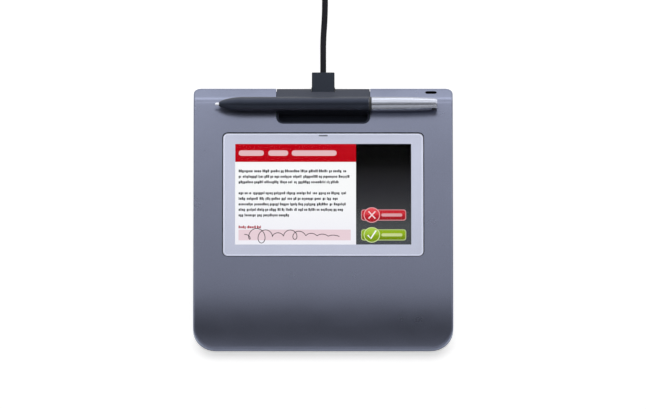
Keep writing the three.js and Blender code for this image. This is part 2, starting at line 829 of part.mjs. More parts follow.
function traySilhouette() {
  const saddle = [];
  for (let step = 0; step <= saddleSteps; step += 1) {
    const y = saddleHalf * ((2 * step) / saddleSteps - 1);
    saddle.push([penPlace + y, penHeight - Math.sqrt(saddleRadius ** 2 - y ** 2)]);
  }
  const rim = topHeight(trayFront) - trayDrop;
  const edge = trayRear - trayEdgeRadius;
  return [
    [trayFront, rim], [recessRear, rim + trayDrop], [recessRear, ridgeTop], ...saddle,
    [penPlace + saddleHalf + ridgeFlat, ridgeTop],
    ...fasciaPoints(fasciaDrop, penPlace + saddleHalf + 2 * ridgeFlat, edge),
    [trayRear, topHeight(trayRear) - fasciaDrop - trayEdgeRadius],
    [trayRear, partingHeight + seatGap], [trayRear - trayWall, partingHeight + seatGap],
    [trayRear - trayWall, recessUnderside], [trayFront, recessUnderside],
  ];
}

function trayCavity() {
  const front = recessRear + trayWall;
  const roof = penHeight - saddleRadius - trayWall;
  const slopeStart = penPlace + saddleHalf + ridgeFlat;
  const below = recessUnderside - cutOverrun;
  return [
    [front, below], [front, roof],
    ...fasciaPoints(fasciaDrop + trayWall * 1.2, slopeStart, trayRear - trayWall),
    [trayRear - trayWall, below],
  ];
}

function penTray() {
  const plan = trayPlan(trayWidth, trayFront, trayCorner, trayRear);
  const column = solidOf(plate(plan, partingHeight, bendHeight + cutOverrun));
  const bodyShape = solidOf(prism(traySilhouette(), -trayWidth / 2, trayWidth / 2)).intersect(column);
  const cavityHalf = trayWidth / 2 - trayEndWall;
  const recessPlan = trayPlan(
    trayWidth - 2 * trayEndWall, trayFront + trayRim, trayCorner - trayRim, recessRear - joinDepth,
  );
  const recess = plate(recessPlan, recessFloor, bendHeight + cutOverrun);
  const notch = block(
    [-notchWidth / 2, notchWidth / 2], [notchFront, trayRear + cutOverrun],
    [partingHeight - cutOverrun, notchTop],
  );
  return cutBy(
    bodyShape, solidOf(recess), solidOf(prism(trayCavity(), -cavityHalf, cavityHalf)), solidOf(notch),
  );
}

// Display stack
function coverGlass() {
  const anchors = halfAnchors(glassWidth, glassDepth, glassCorner, glassCorner, cornerSteps, cornerSteps);
  return loft([
    loopOf(anchors, () => 0, () => glassBottom),
    loopOf(anchors, () => 0, () => glassProud - glassChamfer),
    loopOf(anchors, () => glassChamfer, () => glassProud),
  ]).translate(0, -glassDepth / 2, 0);
}

function borderFilm() {
  const width = glassWidth - 2 * filmMargin;
  const depth = glassDepth - 2 * filmMargin;
  const shape = new THREE.Shape(roundedPoints(width, depth, glassCorner - filmMargin));
  const holes = [[windowWidth, windowDepth, windowShift], [lightWidth, lightSlotDepth, lightPlace]];
  for (const [holeWidth, holeDepth, place] of holes) {
    const corners = [[-1, -1], [1, -1], [1, 1], [-1, 1]].map(([x, y]) => (
      new THREE.Vector2((x * holeWidth) / 2, (y * holeDepth) / 2 + place)
    ));
    shape.holes.push(new THREE.Path(corners));
  }
  return plate(shape, filmBottom, filmTop);
}

function gasket() {
  const width = glassWidth - 2 * filmMargin;
  const depth = glassDepth - 2 * filmMargin;
  const outer = roundedPoints(width, depth, glassCorner - filmMargin);
  const inner = roundedPoints(ledgeWindowWidth, ledgeWindowDepth, ledgeWindowCorner);
  const ring = solidOf(plate(ringShape(outer, inner), gasketBottom, gasketTop));
  return cutBy(ring, solidOf(lightCut(gasketBottom - cutOverrun, gasketTop + cutOverrun)));
}

function centredBlock(width, depth, bottom, top) {
  return block([-width / 2, width / 2], [-depth / 2, depth / 2], [bottom, top]);
}

function displayFrame() {
  const outer = solidOf(centredBlock(frameWidth, frameDepth, frameBottom, frameTop));
  const inside = centredBlock(
    frameWidth - 2 * frameWall, frameDepth - 2 * frameWall, frameFloorTop, frameTop + cutOverrun,
  );
  return cutBy(outer, solidOf(inside));
}

function displayFlex() {
  const top = panelTop - flexAttach;
  const rear = flexFront + flexRun;
  const profile = [
    [flexFront, top], [flexFront, flexEnd], [rear, flexEnd], [rear, flexEnd + flexThickness],
    [flexFront + flexThickness, flexEnd + flexThickness], [flexFront + flexThickness, top],
  ];
  return prism(profile, -flexSide - displayFlexWidth / 2, -flexSide + displayFlexWidth / 2);
}

function sensorFlex() {
  const rear = flexFront + flexRun;
  const below = sensorTop - flexThickness;
  const profile = [
    [flexFront, sensorTop], [flexFront, below], [rear - flexThickness, below],
    [rear - flexThickness, flexEnd], [rear, flexEnd], [rear, sensorTop],
  ];
  return prism(profile, flexSide - sensorFlexWidth / 2, flexSide + sensorFlexWidth / 2);
}

function lightPipe() {
  const half = lightWidth / 2 - lightCutMargin / 2;
  const depths = [lightPlace - pipeDepth / 2, lightPlace + pipeDepth / 2];
  const bottom = depthAt(boardTop + statusLightHeight + seatGap, lightPlaceOnBoard);
  return block([-half, half], depths, [bottom, filmBottom - seatGap]);
}

// Electronics on the main board
function mainBoard() {
  const slab = block([-boardWidth / 2, boardWidth / 2], [boardFront, boardRear], [boardBottom, boardTop]);
  const below = () => boardBottom - cutOverrun;
  return cutBy(solidOf(slab), ...rodsAt(boardScrews, boardHoleRadius, below, () => boardTop + cutOverrun));
}

function onBoard(width, depth, height) {
  return centredBlock(width, depth, 0, height);
}

function cableSocket() {
  const half = socketWidth / 2;
  const front = boardRear - socketDepth;
  const outer = solidOf(block([-half, half], [front, boardRear], [boardTop, boardTop + socketHeight]));
  const inside = block(
    [socketWall - half, half - socketWall], [front + socketWall, boardRear + cutOverrun],
    [boardTop + socketWall, boardTop + socketHeight - socketWall],
  );
  return cutBy(outer, solidOf(inside));
}

function housingScrew() {
  const head = screwHeadSeat - screwHeadThickness;
  return turned([
    [0, head], [screwHeadRadius, head], [screwHeadRadius, screwHeadSeat], [screwShaftRadius, screwHeadSeat],
    [screwShaftRadius, screwTip], [0, screwTip],
  ], screwSteps);
}

function boardScrew() {
  const head = boardTop + boardScrewHeadThickness;
  const tip = floorHeight + seatGap;
  return turned([
    [0, tip], [boardScrewRadius, tip], [boardScrewRadius, boardTop],
    [boardScrewHeadRadius, boardTop], [boardScrewHeadRadius, head], [0, head],
  ], screwSteps);
}

function foot() {
  return turned([
    [0, 0], [footRadius - footEdge, 0], [footRadius, footEdge], [footRadius, footThickness],
    [0, footThickness],
  ], footSteps);
}

function lockPlate() {
  const top = -coverWall * Math.cos(rearSlope) - seatGap;
  const width = lockLength + 2 * lockPlateMargin;
  const outline = roundedPoints(width, lockWidth + 2 * lockPlateEdge, lockWidth / 2);
  return plate(ringShape(outline, lockShape()), top - lockPlateThickness, top);
}

// Pen
function penNib() {
  const tip = nibTipShares.map(([radius, length]) => [radius * nibRadius, length * nibRadius]);
  return turned([
    ...tip, [nibRadius, nibShoulder], [nibRodRadius, nibShoulder], [nibRodRadius, nibLength], [0, nibLength],
  ], screwSteps);
}

function gripBarrel() {
  const nose = [];
  for (let step = 0; step <= noseSteps; step += 1) {
    const share = step / noseSteps;
    const swell = (1 - (1 - share) ** 2) ** noseFullness;
    nose.push([THREE.MathUtils.lerp(noseRadius, penRadius, swell), nibReach + share * noseLength]);
  }
  return closedTurned([
    [noseHole, nibReach], ...nose, [penRadius, gripEnd], [gripBore, gripEnd], [gripBore, boreTaperEnd],
    [noseHole, boreTaperStart],
  ], penSteps);
}

const ringStart = gripEnd + ringGap;
const rearStart = ringStart + ringLength + ringGap;

function jointRing() {
  return closedTurned([
    [gripBore, ringStart], [penRadius, ringStart], [penRadius, ringStart + ringLength],
    [gripBore, ringStart + ringLength],
  ], penSteps);
}

function rearBarrel() {
  const length = penLength - rearStart;
  const outside = rearTaperShares.map(([place, radius]) => [radius * penRadius, rearStart + place * length]);
  const barrel = solidOf(turned([
    [0, rearBoreEnd], [rearBore, rearBoreEnd], [rearBore, spigotStart], [spigotRadius, spigotStart],
    [spigotRadius, rearStart], ...outside, [0, penLength],
  ], penSteps));
  const slot = block(
    [-tetherHeight / 2, tetherHeight / 2], [-penRadius - cutOverrun, penRadius + cutOverrun],
    [tetherStart, tetherStart + tetherLength],
  );
  return cutBy(barrel, solidOf(slot));
}

function ferriteSleeve() {
  const inner = nibRodRadius + seatGap;
  const outer = gripBore - innerGap;
  return closedTurned([
    [inner, ferriteStart], [outer, ferriteStart], [outer, ferriteEnd], [inner, ferriteEnd],
  ], screwSteps);
}

function penBoard() {
  const half = penBoardThickness / 2;
  const places = [pressureEnd + innerGap, spigotStart - penBoardEndGap];
  return block([-half, half], [-penBoardWidth / 2, penBoardWidth / 2], places);
}

// Cable
const cordRadius = cordDiameter / 2;
const coilOuterRadius = coilMidRadius + (coilPitch * turnsPerLayer) / 2;
const totalTurns = coilLayers * turnsPerLayer;

function vectors(route) {
  return route.map((point) => new THREE.Vector3(...point));
}

function cordTube(route) {
  const curve = new THREE.CatmullRomCurve3(vectors(route), false, 'centripetal');
  const section = [];
  for (let side = 0; side < cordSides; side += 1) {
    const angle = (2 * Math.PI * (side + 0.5)) / cordSides;
    section.push(new THREE.Vector2(cordRadius * Math.cos(angle), cordRadius * Math.sin(angle)));
  }
  const steps = Math.round(curve.getLength() / cordStep);
  const options = { steps, bevelEnabled: false, extrudePath: curve };
  return new THREE.ExtrudeGeometry(new THREE.Shape(section), options);
}

// Layers passed by a given turn: each climb takes the half turn round the place where the spiral reverses
function layersClimbed(turn) {
  let layers = 0;
  for (let layer = 1; layer < coilLayers; layer += 1) {
    const start = layer * turnsPerLayer - climbTurns / 2;
    layers += THREE.MathUtils.smoothstep(turn, start, start + climbTurns);
  }
  return layers;
}

function coilPoint(turn) {
  const layer = Math.min(Math.floor(turn / turnsPerLayer), coilLayers - 1);
  const within = turn - layer * turnsPerLayer;
  const inwards = layer % 2 === 0 ? within : turnsPerLayer - within;
  const radius = coilOuterRadius - coilPitch * inwards;
  const angle = 2 * Math.PI * turn;
  return new THREE.Vector3(
    radius * Math.cos(angle) - coilOuterRadius, radius * Math.sin(angle), coilPitch * layersClimbed(turn),
  );
}

// Centre line of the coil, with a straight end of one diameter before the first turn and after the last
function coilLine() {
  const points = [new THREE.Vector3(0, -cordDiameter, 0)];
  for (let step = 0; step <= totalTurns * stepsPerTurn; step += 1) {
    points.push(coilPoint(step / stepsPerTurn));
  }
  const last = points.at(-1);
  points.push(new THREE.Vector3(last.x, last.y + cordDiameter, last.z));
  return points;
}

// Least gap of the coil to itself, between points at least a third of a turn apart along the line
function leastCoilGap() {
  const perTurn = 2 * stepsPerTurn;
  const samples = Array.from({ length: totalTurns * perTurn + 1 }, (_, k) => coilPoint(k / perTurn));
  let least = Infinity;
  for (let a = 0; a < samples.length; a += 1) {
    for (let b = a + Math.round(perTurn / 3); b < samples.length; b += 1) {
      least = Math.min(least, samples[a].distanceTo(samples[b]));
    }
  }
  return least - cordDiameter;
}

function coilTube(line) {
  const up = new THREE.Vector3(0, 0, 1);
  const positions = [];
  line.forEach((point, k) => {
    const before = line[Math.max(k - 1, 0)];
    const after = line[Math.min(k + 1, line.length - 1)];
    const ahead = after.clone().sub(before).normalize();
    const across = ahead.clone().cross(up).normalize();
    const over = across.clone().cross(ahead);
    for (let side = 0; side < coilSides; side += 1) {
      const angle = (2 * Math.PI * side) / coilSides;
      const corner = point.clone();
      corner.addScaledVector(across, cordRadius * Math.cos(angle));
      corner.addScaledVector(over, cordRadius * Math.sin(angle));
      positions.push(...corner.toArray());
    }
  });
  const faces = [];
  for (let ring = 0; ring + 1 < line.length; ring += 1) {
    for (let side = 0; side < coilSides; side += 1) {
      const a = ring * coilSides + side;
      const b = ring * coilSides + ((side + 1) % coilSides);
      faces.push(a, b, b + coilSides, a, b + coilSides, a + coilSides);
    }
  }
  const last = (line.length - 1) * coilSides;
  for (let side = 1; side + 1 < coilSides; side += 1) {
    faces.push(0, side + 1, side, last, last + side, last + side + 1);
  }
  const geometry = new THREE.BufferGeometry();
  geometry.setAttribute('position', new THREE.Float32BufferAttribute(positions, 3));
  geometry.setIndex(faces);
  return geometry;
}

function coilTie() {
  const width = coilPitch * (turnsPerLayer - 1) + cordDiameter + 2 * tieClearance;
  const height = coilPitch * (coilLayers - 1) + cordDiameter + 2 * tieClearance;
  const outer = roundedPoints(width + 2 * tieThickness, height + 2 * tieThickness, tieCorner + tieThickness);
  const inner = roundedPoints(width, height, tieCorner);
  const band = solidOf(bar(ringShape(outer, inner), -tieWidth / 2, tieWidth / 2));
  const reach = tieHeadLength / 2;
  const head = block(
    [-width / 2 - tieHeadReach, joinDepth - width / 2 - tieThickness], [-reach, reach],
    [-tieHeadHeight / 2, tieHeadHeight / 2],
  );
  return band.add(solidOf(head));
}

function plugShell() {
  const outer = roundedPoints(plugShellWidth, plugShellHeight, plugShellWall);
  const inner = roundedPoints(
    plugShellWidth - 2 * plugShellWall, plugShellHeight - 2 * plugShellWall, plugShellWall / 2,
  );
  return bar(ringShape(outer, inner), -plugShellLength, 0);
}

// The case and what it holds
addPiece(caseGroup, 'top_cover', topCover(), casePlastic);
addPiece(caseGroup, 'bottom_cover', bottomCover(), bottomPlastic);
addPiece(caseGroup, 'pen_tray', penTray(), trayPlastic);
addPiece(screenGroup, 'cover_glass', coverGlass(), clearGlass);
addPiece(screenGroup, 'border_film', borderFilm(), borderSilver);
addPiece(screenGroup, 'screen_gasket', gasket(), foam);
const panel = centredBlock(panelWidth, panelDepth, panelBottom, panelTop);
addPiece(screenGroup, 'display_panel', panel, displayFace);
const backlight = centredBlock(panelWidth, panelDepth, backlightBottom, backlightTop);
addPiece(screenGroup, 'backlight', backlight, clearPlastic);
addPiece(screenGroup, 'display_frame', displayFrame(), steel);
const sensorBoard = centredBlock(sensorWidth, frameDepth, sensorBottom, sensorTop);
addPiece(screenGroup, 'pen_sensor_board', sensorBoard, boardGreen);
const shield = centredBlock(frameWidth, frameDepth, shieldBottom, shieldTop);
addPiece(screenGroup, 'shield_plate', shield, steel);
addPiece(screenGroup, 'display_flat_cable', displayFlex(), flexAmber);
addPiece(screenGroup, 'sensor_flat_cable', sensorFlex(), flexAmber);
addPiece(screenGroup, 'light_pipe', lightPipe(), clearPlastic);
addPiece(lockGroup, 'lock_plate', lockPlate(), steel);

const chipSide = chipSideShare * boardWidth;
addPiece(caseGroup, 'main_board', mainBoard(), boardGreen);
addPiece(
  caseGroup, 'processor_chip', onBoard(processorSize, processorSize, processorThickness), chipBlack,
  [-chipSide, flatConnectorFront - processorMargin - processorSize / 2, boardTop],
);
addPiece(
  caseGroup, 'sensor_chip', onBoard(sensorChipSize, sensorChipSize, sensorChipThickness), chipBlack,
  [chipSide, flatConnectorFront - sensorChipMargin - sensorChipSize / 2, boardTop],
);
const flatConnectors = {
  display_connector: [-flexSide, displayFlexWidth],
  sensor_connector: [flexSide, sensorFlexWidth],
};
for (const [name, [side, flexWidth]] of Object.entries(flatConnectors)) {
  const body = onBoard(flexWidth + 2 * flexThickness, flatConnectorDepth, flatConnectorHeight);
  addPiece(caseGroup, name, body, chipBlack, [side, flatConnectorPlace, boardTop]);
}
addPiece(
  caseGroup, 'status_light', onBoard(statusLightWidth, statusLightDepth, statusLightHeight), clearPlastic,
  [0, lightPlaceOnBoard, boardTop],
);
addPiece(caseGroup, 'cable_socket', cableSocket(), steel);

for (const [name, [x, y]] of Object.entries(feet)) {
  addPiece(caseGroup, `foot_${name}`, foot(), rubber, [x, y, 0]);
}
for (const [name, [x, y]] of Object.entries(housingScrews)) {
  addPiece(caseGroup, `housing_screw_${name}`, housingScrew(), steel, [x, y, 0]);
}
for (const [name, [x, y]] of Object.entries(boardScrews)) {
  addPiece(caseGroup, `board_screw_${name}`, boardScrew(), steel, [x, y, 0]);
}

// The pen in its cradle
addPiece(penGroup, 'pen_nib', penNib(), nibWhite);
addPiece(penGroup, 'pen_grip_barrel', gripBarrel(), gripBlack);
addPiece(penGroup, 'pen_joint_ring', jointRing(), rubber);
addPiece(penGroup, 'pen_rear_barrel', rearBarrel(), silverPlastic);
addPiece(penGroup, 'pen_ferrite_sleeve', ferriteSleeve(), chipBlack);
addPiece(penGroup, 'pen_pressure_sensor', rod(spigotRadius, pressureStart, pressureEnd), clearPlastic);
addPiece(penGroup, 'pen_board', penBoard(), boardGreen);

// The cable and what is on it
const connectorGroup = new THREE.Group();
connectorGroup.position.set(0, 0, connectorMiddle);
caseGroup.add(connectorGroup);
const connectorShape = new THREE.Shape(roundedPoints(connectorWidth, connectorHeight, connectorCorner));
const tongueWidth = socketWidth - 2 * (socketWall + tongueSideGap);
const tongueThickness = socketHeight - 2 * (socketWall + tongueFaceGap);
const tongueShape = new THREE.Shape(roundedPoints(tongueWidth, tongueThickness, tongueThickness / 4));
const tongueBack = connectorFront - seatGap;
const tongueMiddle = boardTop + socketHeight / 2 - connectorMiddle;
addPiece(connectorGroup, 'cable_connector', bar(connectorShape, connectorFront, connectorRear), trayPlastic);
addPiece(
  connectorGroup, 'connector_tongue', bar(tongueShape, tongueBack - tongueLength, tongueBack), steel,
  [0, 0, tongueMiddle],
);

const cableGroup = new THREE.Group();
cableGroup.position.set(0, connectorRear + seatGap, 0);
caseGroup.add(cableGroup);
addPiece(cableGroup, 'cable_run', cordTube(runRoute), cableBlack);
addPiece(cableGroup, 'cable_tail', cordTube(tailRoute), cableBlack);

const coilGroup = new THREE.Group();
const runEnd = new THREE.Vector3(...runRoute.at(-1));
coilGroup.position.set(runEnd.x, runEnd.y + seatGap + cordDiameter, runEnd.z);
coilGroup.rotation.y = coilTilt;
cableGroup.add(coilGroup);
addPiece(coilGroup, 'cable_coil', coilTube(coilLine()), cableBlack);
addPiece(
  coilGroup, 'cable_tie', coilTie(), rubber,
  [-coilOuterRadius - coilMidRadius, 0, (coilPitch * (coilLayers - 1)) / 2],
);

const plugGroup = new THREE.Group();
const tailEnd = new THREE.Vector3(...tailRoute.at(-1));
plugGroup.position.set(tailEnd.x, tailEnd.y - seatGap, tailEnd.z);
cableGroup.add(plugGroup);
const plugShape = new THREE.Shape(roundedPoints(plugWidth, plugHeight, plugCorner));
const plugTongueShape = new THREE.Shape(
  roundedPoints(plugShellWidth - 2 * (plugShellWall + seatGap), plugTongueThickness, plugShellWall),
);
const shellFace = -plugLength - seatGap;
const plugTongueHeight = plugShellWall + seatGap + plugTongueThickness / 2 - plugShellHeight / 2;
addPiece(plugGroup, 'computer_plug_body', bar(plugShape, -plugLength, 0), trayPlastic);
addPiece(plugGroup, 'computer_plug_shell', plugShell(), steel, [0, shellFace, 0]);
addPiece(
  plugGroup, 'computer_plug_tongue', bar(plugTongueShape, -plugShellLength, 0), chipBlack,
  [0, shellFace, plugTongueHeight],
);

// Length and least gap of the cable
function lineLength(points) {
  return points.slice(1).reduce((sum, point, k) => sum + point.distanceTo(points[k]), 0);
}
const lengths = [lineLength(vectors(runRoute)), lineLength(coilLine()), lineLength(vectors(tailRoute))];
console.log(`cable length ${lengths.reduce((sum, length) => sum + length, 0).toFixed(0)} mm`);
console.log(`least gap of the coil to itself ${leastCoilGap().toFixed(2)} mm`);

export default pad;
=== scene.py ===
"""Signature pad: finishes, display image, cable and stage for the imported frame. Lengths are in metres."""

import math

import bmesh
import bpy
import numpy as np
from bpy.props import FloatProperty, FloatVectorProperty, IntProperty, PointerProperty
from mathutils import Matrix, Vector


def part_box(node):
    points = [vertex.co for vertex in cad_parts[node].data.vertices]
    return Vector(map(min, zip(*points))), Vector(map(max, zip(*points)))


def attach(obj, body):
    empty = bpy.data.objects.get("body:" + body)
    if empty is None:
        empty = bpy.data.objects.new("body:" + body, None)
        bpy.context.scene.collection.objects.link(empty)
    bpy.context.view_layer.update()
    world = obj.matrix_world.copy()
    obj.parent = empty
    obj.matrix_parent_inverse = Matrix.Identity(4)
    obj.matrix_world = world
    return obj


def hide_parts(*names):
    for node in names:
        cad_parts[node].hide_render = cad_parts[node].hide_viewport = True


bl_info = {
    "name": "Signature Pad",
    "version": (1, 0, 0),
    "blender": (4, 5, 0),
    "location": "View3D > Sidebar > Signature Pad",
    "description": "Finishes, display image, cable and stage of a desk signature pad",
    "category": "Object",
}

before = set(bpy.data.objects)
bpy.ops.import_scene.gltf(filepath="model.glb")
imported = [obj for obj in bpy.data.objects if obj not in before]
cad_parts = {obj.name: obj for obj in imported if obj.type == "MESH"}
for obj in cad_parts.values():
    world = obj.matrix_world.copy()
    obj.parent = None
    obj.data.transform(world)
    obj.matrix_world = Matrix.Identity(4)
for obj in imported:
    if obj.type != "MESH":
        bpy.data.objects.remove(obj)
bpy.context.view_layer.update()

MM = 0.001

# Angles from which an edge stays sharp, on the pieces made here and on the frame's nodes
PIECE_EDGE = math.radians(40)
NODE_EDGE = math.radians(30)

# The screen's plane: its middle, and the angle by which it rises to the back
SCREEN_MIDDLE = Vector((0.0, 0.0136, 0.012608))
SCREEN_TILT = math.radians(1.8)

# Depths under the glass, in millimetres: the print, its rim of painted highlight with the light's mark, and the seal
# round the pane, partly painted shade
PRINT_DEPTHS = (-0.56, -0.535)
RIM_DEPTHS = (-0.53, -0.51)
SEAL_DEPTHS = (-0.6, -0.06)

# Depths of the display image, in millimetres: underside and top of its lowest layer, and the step to the next
LAYER_UNDERSIDE, LAYER_TOP, LAYER_STEP = -0.76, -0.745, 0.025

# Layout of the display image, in millimetres from the middle of the screen
OVERLAP = 0.3
PAGE_RIGHT = 20.42
HEADER_FRONT = 21.75
HEADER_BARS = ((-52.6, -36.9), (-34.2, -21.8), (-19.6, 8.4))
HEADER_MIDDLE, HEADER_BAR_HEIGHT = 27.6, 3.6
TEXT_LEFT = -52.6
TEXT_LINES = (
    (15.55, 16.4), (11.9, 16.4), (8.25, 9.6), (0.95, 15.4), (-2.73, 9.0), (-6.41, 14.2), (-10.02, 12.5),
    (-13.7, -20.9),
)
CAPTION_MIDDLE, CAPTION_RIGHT = -21.6, -36.9
STRIP_SIDES, STRIP_ENDS = (-52.66, 17.12), (-30.2, -23.1)
SQUIGGLE_CORNER, SQUIGGLE_SIZE, SQUIGGLE_WIDTH = (-49.0, -32.0), (59.1, 9.6), 0.45

# Parts of a button, in millimetres: left and right side, height and corner radius, and the badge's place and sizes
BUTTON_RIM = (23.55, 51.6, 7.4, 1.6)
BUTTON_FACE = (24.1, 51.05, 6.3, 1.3)
BUTTON_WORD = (36.2, 49.2, 2.0, None)
BADGE_MIDDLE, BADGE_RING, BADGE_SIZE = 30.25, 10.2, 9.2

# Shades of a button's face and badge from front to back: place, share of its colour, and lift towards white
FACE_REACH = 3.4
FACE_SHADES = ((0.0, 0.55), (0.35, 0.82), (0.5, 1.0), (0.62, 1.12), (1.0, 1.16))
BADGE_SHADES = ((0.0, 0.72, 0), (0.45, 1.0, 0), (0.55, 1.3, 0.02), (1.0, 1.45, 0.07))

# The two buttons: middle line, colours of rim, word and sign, and the sign's width and strokes from that line
BUTTONS = {
    "cross": {
        "middle": -13.45, "rim": (0.60, 0.27, 0.29), "word": (0.72, 0.36, 0.39), "lit": (0.92, 0.66, 0.68),
        "width": 0.8, "strokes": (((28.2, -2.4), (32.4, 2.4)), ((28.2, 2.4), (32.4, -2.4))),
    },
    "check": {
        "middle": -26.6, "rim": (0.46, 0.56, 0.24), "word": (0.60, 0.69, 0.30), "lit": (0.95, 0.95, 0.93),
        "width": 1.0, "strokes": (((27.7, -0.2), (29.6, -2.4), (32.9, 2.9)),),
    },
}

# Mark in the print over the status light, in millimetres: a part as above, and its middle line
LIGHT_MARK = (-2.8, 2.8, 1.0, None, 39.15)

# Letters of the display text, in millimetres: widths of words and blocks, rise or fall of a block, and gaps
WORD_WIDTHS = (1.9, 3.0, 4.4, 5.6, 7.2, 9.0)
BLOCK_WIDTHS = (0.5, 0.8, 0.95)
BLOCK_RISES = (0, 0, 0.28, -0.22)
BLOCK_HEIGHT, BLOCK_GAP, WORD_GAP = 1.35, 0.2, 0.7
SHORTEST_WORD, SHORTEST_BLOCK = 1.5, 0.3

# Colours of the side panel from its front to its back
PANEL_STOPS = (
    (0.0, (0.068, 0.074, 0.084)), (0.18, (0.068, 0.072, 0.077)), (0.343, (0.042, 0.043, 0.047)),
    (0.543, (0.022, 0.0215, 0.026)), (0.743, (0.0074, 0.0074, 0.0082)), (0.80, (0.001, 0.001, 0.001)),
    (1.0, (0.0, 0.0, 0.0)),
)

# The lock slot: its middle in millimetres, and the angle by which the rear slope falls to the back
LOCK_SLOT_MIDDLE = (67.2, 83.0, 10.376)
REAR_SLOPE = math.radians(33)

# Tints of the shine on the dark blue-grey mouldings and on the paint
COOL = (0.58, 0.68, 1.0)
PAINT_SHINE = (0.80, 0.88, 1.0)

# The cable, in millimetres: where it leaves the connector, where its coil starts, and the coil's lean.
# The routes run from the connector, through the same points as in the part's source.
CABLE_START = (0, 97.2, 0)
COIL_START = (0, 190.0, 1.95)
COIL_LEAN = math.radians(1.5)
RUN_ROUTE = (
    (0, 0, 6.3), (0, 4.2, 6.3), (0, 8.8, 6.2), (0, 13.8, 5.6), (0, 18.8, 4.7), (0.1, 23.8, 3.7),
    (0.3, 28.8, 2.9), (0.6, 33.8, 2.3), (0.9, 39.8, 2), (1.1, 46.8, 1.95), (1.1, 53.8, 1.95),
    (0.8, 60.8, 1.95), (0.4, 67.8, 1.95), (0.1, 74.8, 1.95), (0, 81.8, 1.95), (0, 88.7, 1.95),
)
TAIL_ROUTE = (
    (0.35, 96.9, 15), (0.35, 101.1, 15), (0.8, 105.8, 14.6), (2.4, 111.3, 13.4), (5.8, 116.8, 11.5),
    (10.8, 121.2, 9.2), (17, 123.6, 6.8), (23.4, 123.4, 4.7), (29.2, 120.8, 3.1), (33.8, 116.4, 2.4),
    (36.8, 111.2, 2.5), (38.4, 106.8, 3.3), (39, 103.8, 3.9), (39, 99.4, 4),
)


def colour(name, text, default):
    """A colour property in linear RGB."""
    return FloatVectorProperty(name=name, description=text, subtype="COLOR", size=3, min=0, max=1, default=default)


def length(name, text, default):
    """A length property in metres."""
    return FloatProperty(name=name, description=text, default=default, min=0, subtype="DISTANCE", unit="LENGTH")


def share(name, text, default):
    """A property between nought and one."""
    return FloatProperty(name=name, description=text, default=default, min=0, max=1, subtype="FACTOR")


def amount(name, text, default):
    """A property without a unit, of nought or more."""
    return FloatProperty(name=name, description=text, default=default, min=0)


class StageSettings(bpy.types.PropertyGroup):
    """Camera, lights and floor."""

    lens: FloatProperty(name="Lens", description="Focal length", default=1000, min=1, unit="CAMERA")
    camera_distance: length("Camera distance", "From the camera to the point it looks at", 11.170)
    elevation: FloatProperty(
        name="Elevation", description="Height of the camera above the horizon", default=math.radians(68),
        subtype="ANGLE", unit="ROTATION",
    )
    target: FloatVectorProperty(
        name="Target", description="Point the camera looks at", default=(-0.00012, 0.01085, 0.0025),
        subtype="TRANSLATION", unit="LENGTH", size=3,
    )
    roof_light: amount("Roof", "Radiance of the panels over and behind", 0.74)
    rear_light: amount("Rear", "Radiance of the low rear panel", 1.04)
    front_light: amount("Front", "Radiance of the front panels", 0.72)
    side_light: amount("Sides", "Radiance of the high side panels", 0.45)
    ambient: share("Ambient", "Radiance of the surroundings overhead", 0.02)
    horizon: share("Horizon", "Radiance of the surroundings near the horizon", 0.32)
    front_glow: share("Front glow", "White that the floor adds to its shading just in front of the pad", 0.34)
    floor_glow: share("Floor glow", "White that the floor adds to its shading elsewhere", 0.86)
    far_glow: share("Far glow", "White that the floor adds to that far from the lamps", 0.16)
    floor_shading: share("Floor shading", "Share of its shading that the floor keeps elsewhere", 0.25)


class CaseSettings(bpy.types.PropertyGroup):
    """Colours of the case."""

    paint: colour("Paint", "Metal-flake paint of the top cover", (0.170, 0.185, 0.253))
    tray: colour("Tray", "Dark moulding of the tray", (0.009, 0.010, 0.014))
    bottom: colour("Bottom", "Textured plastic of the bottom cover", (0.035, 0.038, 0.050))
    border: colour("Border", "Pale print under the glass", (0.588, 0.606, 0.755))
    border_highlight: colour("Border rim", "Rim of the print, where the glass's edge lights it", (0.790, 0.812, 0.985))
    light_mark: colour("Light mark", "Mark in the print over the status light", (0.15, 0.16, 0.21))
    paint_roughness: share("Paint roughness", "Spread of the paint's shine", 0.29)
    flake_size: length("Flake size", "Size of the flakes in the paint", 0.0003)


class DisplaySettings(bpy.types.PropertyGroup):
    """Sizes and colours of the display image."""

    width: length("Width", "Width of the window in the print", 0.1095)
    height: length("Height", "Height of the window in the print", 0.0667)
    shift: length("Shift", "How far the window sits behind the middle of the glass", 0.00028)
    glass_width: length("Glass width", "Width of the cover glass", 0.1249)
    glass_height: length("Glass height", "Height of the cover glass", 0.0815)
    glass_corner: length("Glass corner", "Radius of the glass's corners", 0.0031)
    # Width of the print's paler rim, a painted highlight of the glass's edge
    print_rim: length("Print rim", "Width of the paler rim of the print", 0.00095)
    header: colour("Header", "Header band", (0.500, 0.0018, 0.0078))
    page: colour("Page", "Page at its rear edge", (0.975, 0.975, 0.985))
    page_front: colour("Page front", "Page at its front edge", (0.895, 0.880, 0.950))
    ink: colour("Ink", "Blocks of text", (0.050, 0.050, 0.055))
    strip: colour("Strip", "Strip to sign on", (0.830, 0.645, 0.700))
    cancel: colour("Cross button", "Button with a cross", (0.520, 0.020, 0.032))
    accept: colour("Check button", "Button with a check", (0.250, 0.390, 0.014))
    glow: amount("Glow", "Strength of the display's light", 1.0)


class PenSettings(bpy.types.PropertyGroup):
    """Colours of the pen."""

    grip: colour("Grip", "Grip barrel", (0.004, 0.0045, 0.006))
    silver: colour("Rear barrel", "Rear barrel", (0.37, 0.39, 0.455))
    nib: colour("Nib", "Nib", (0.86, 0.88, 0.95))


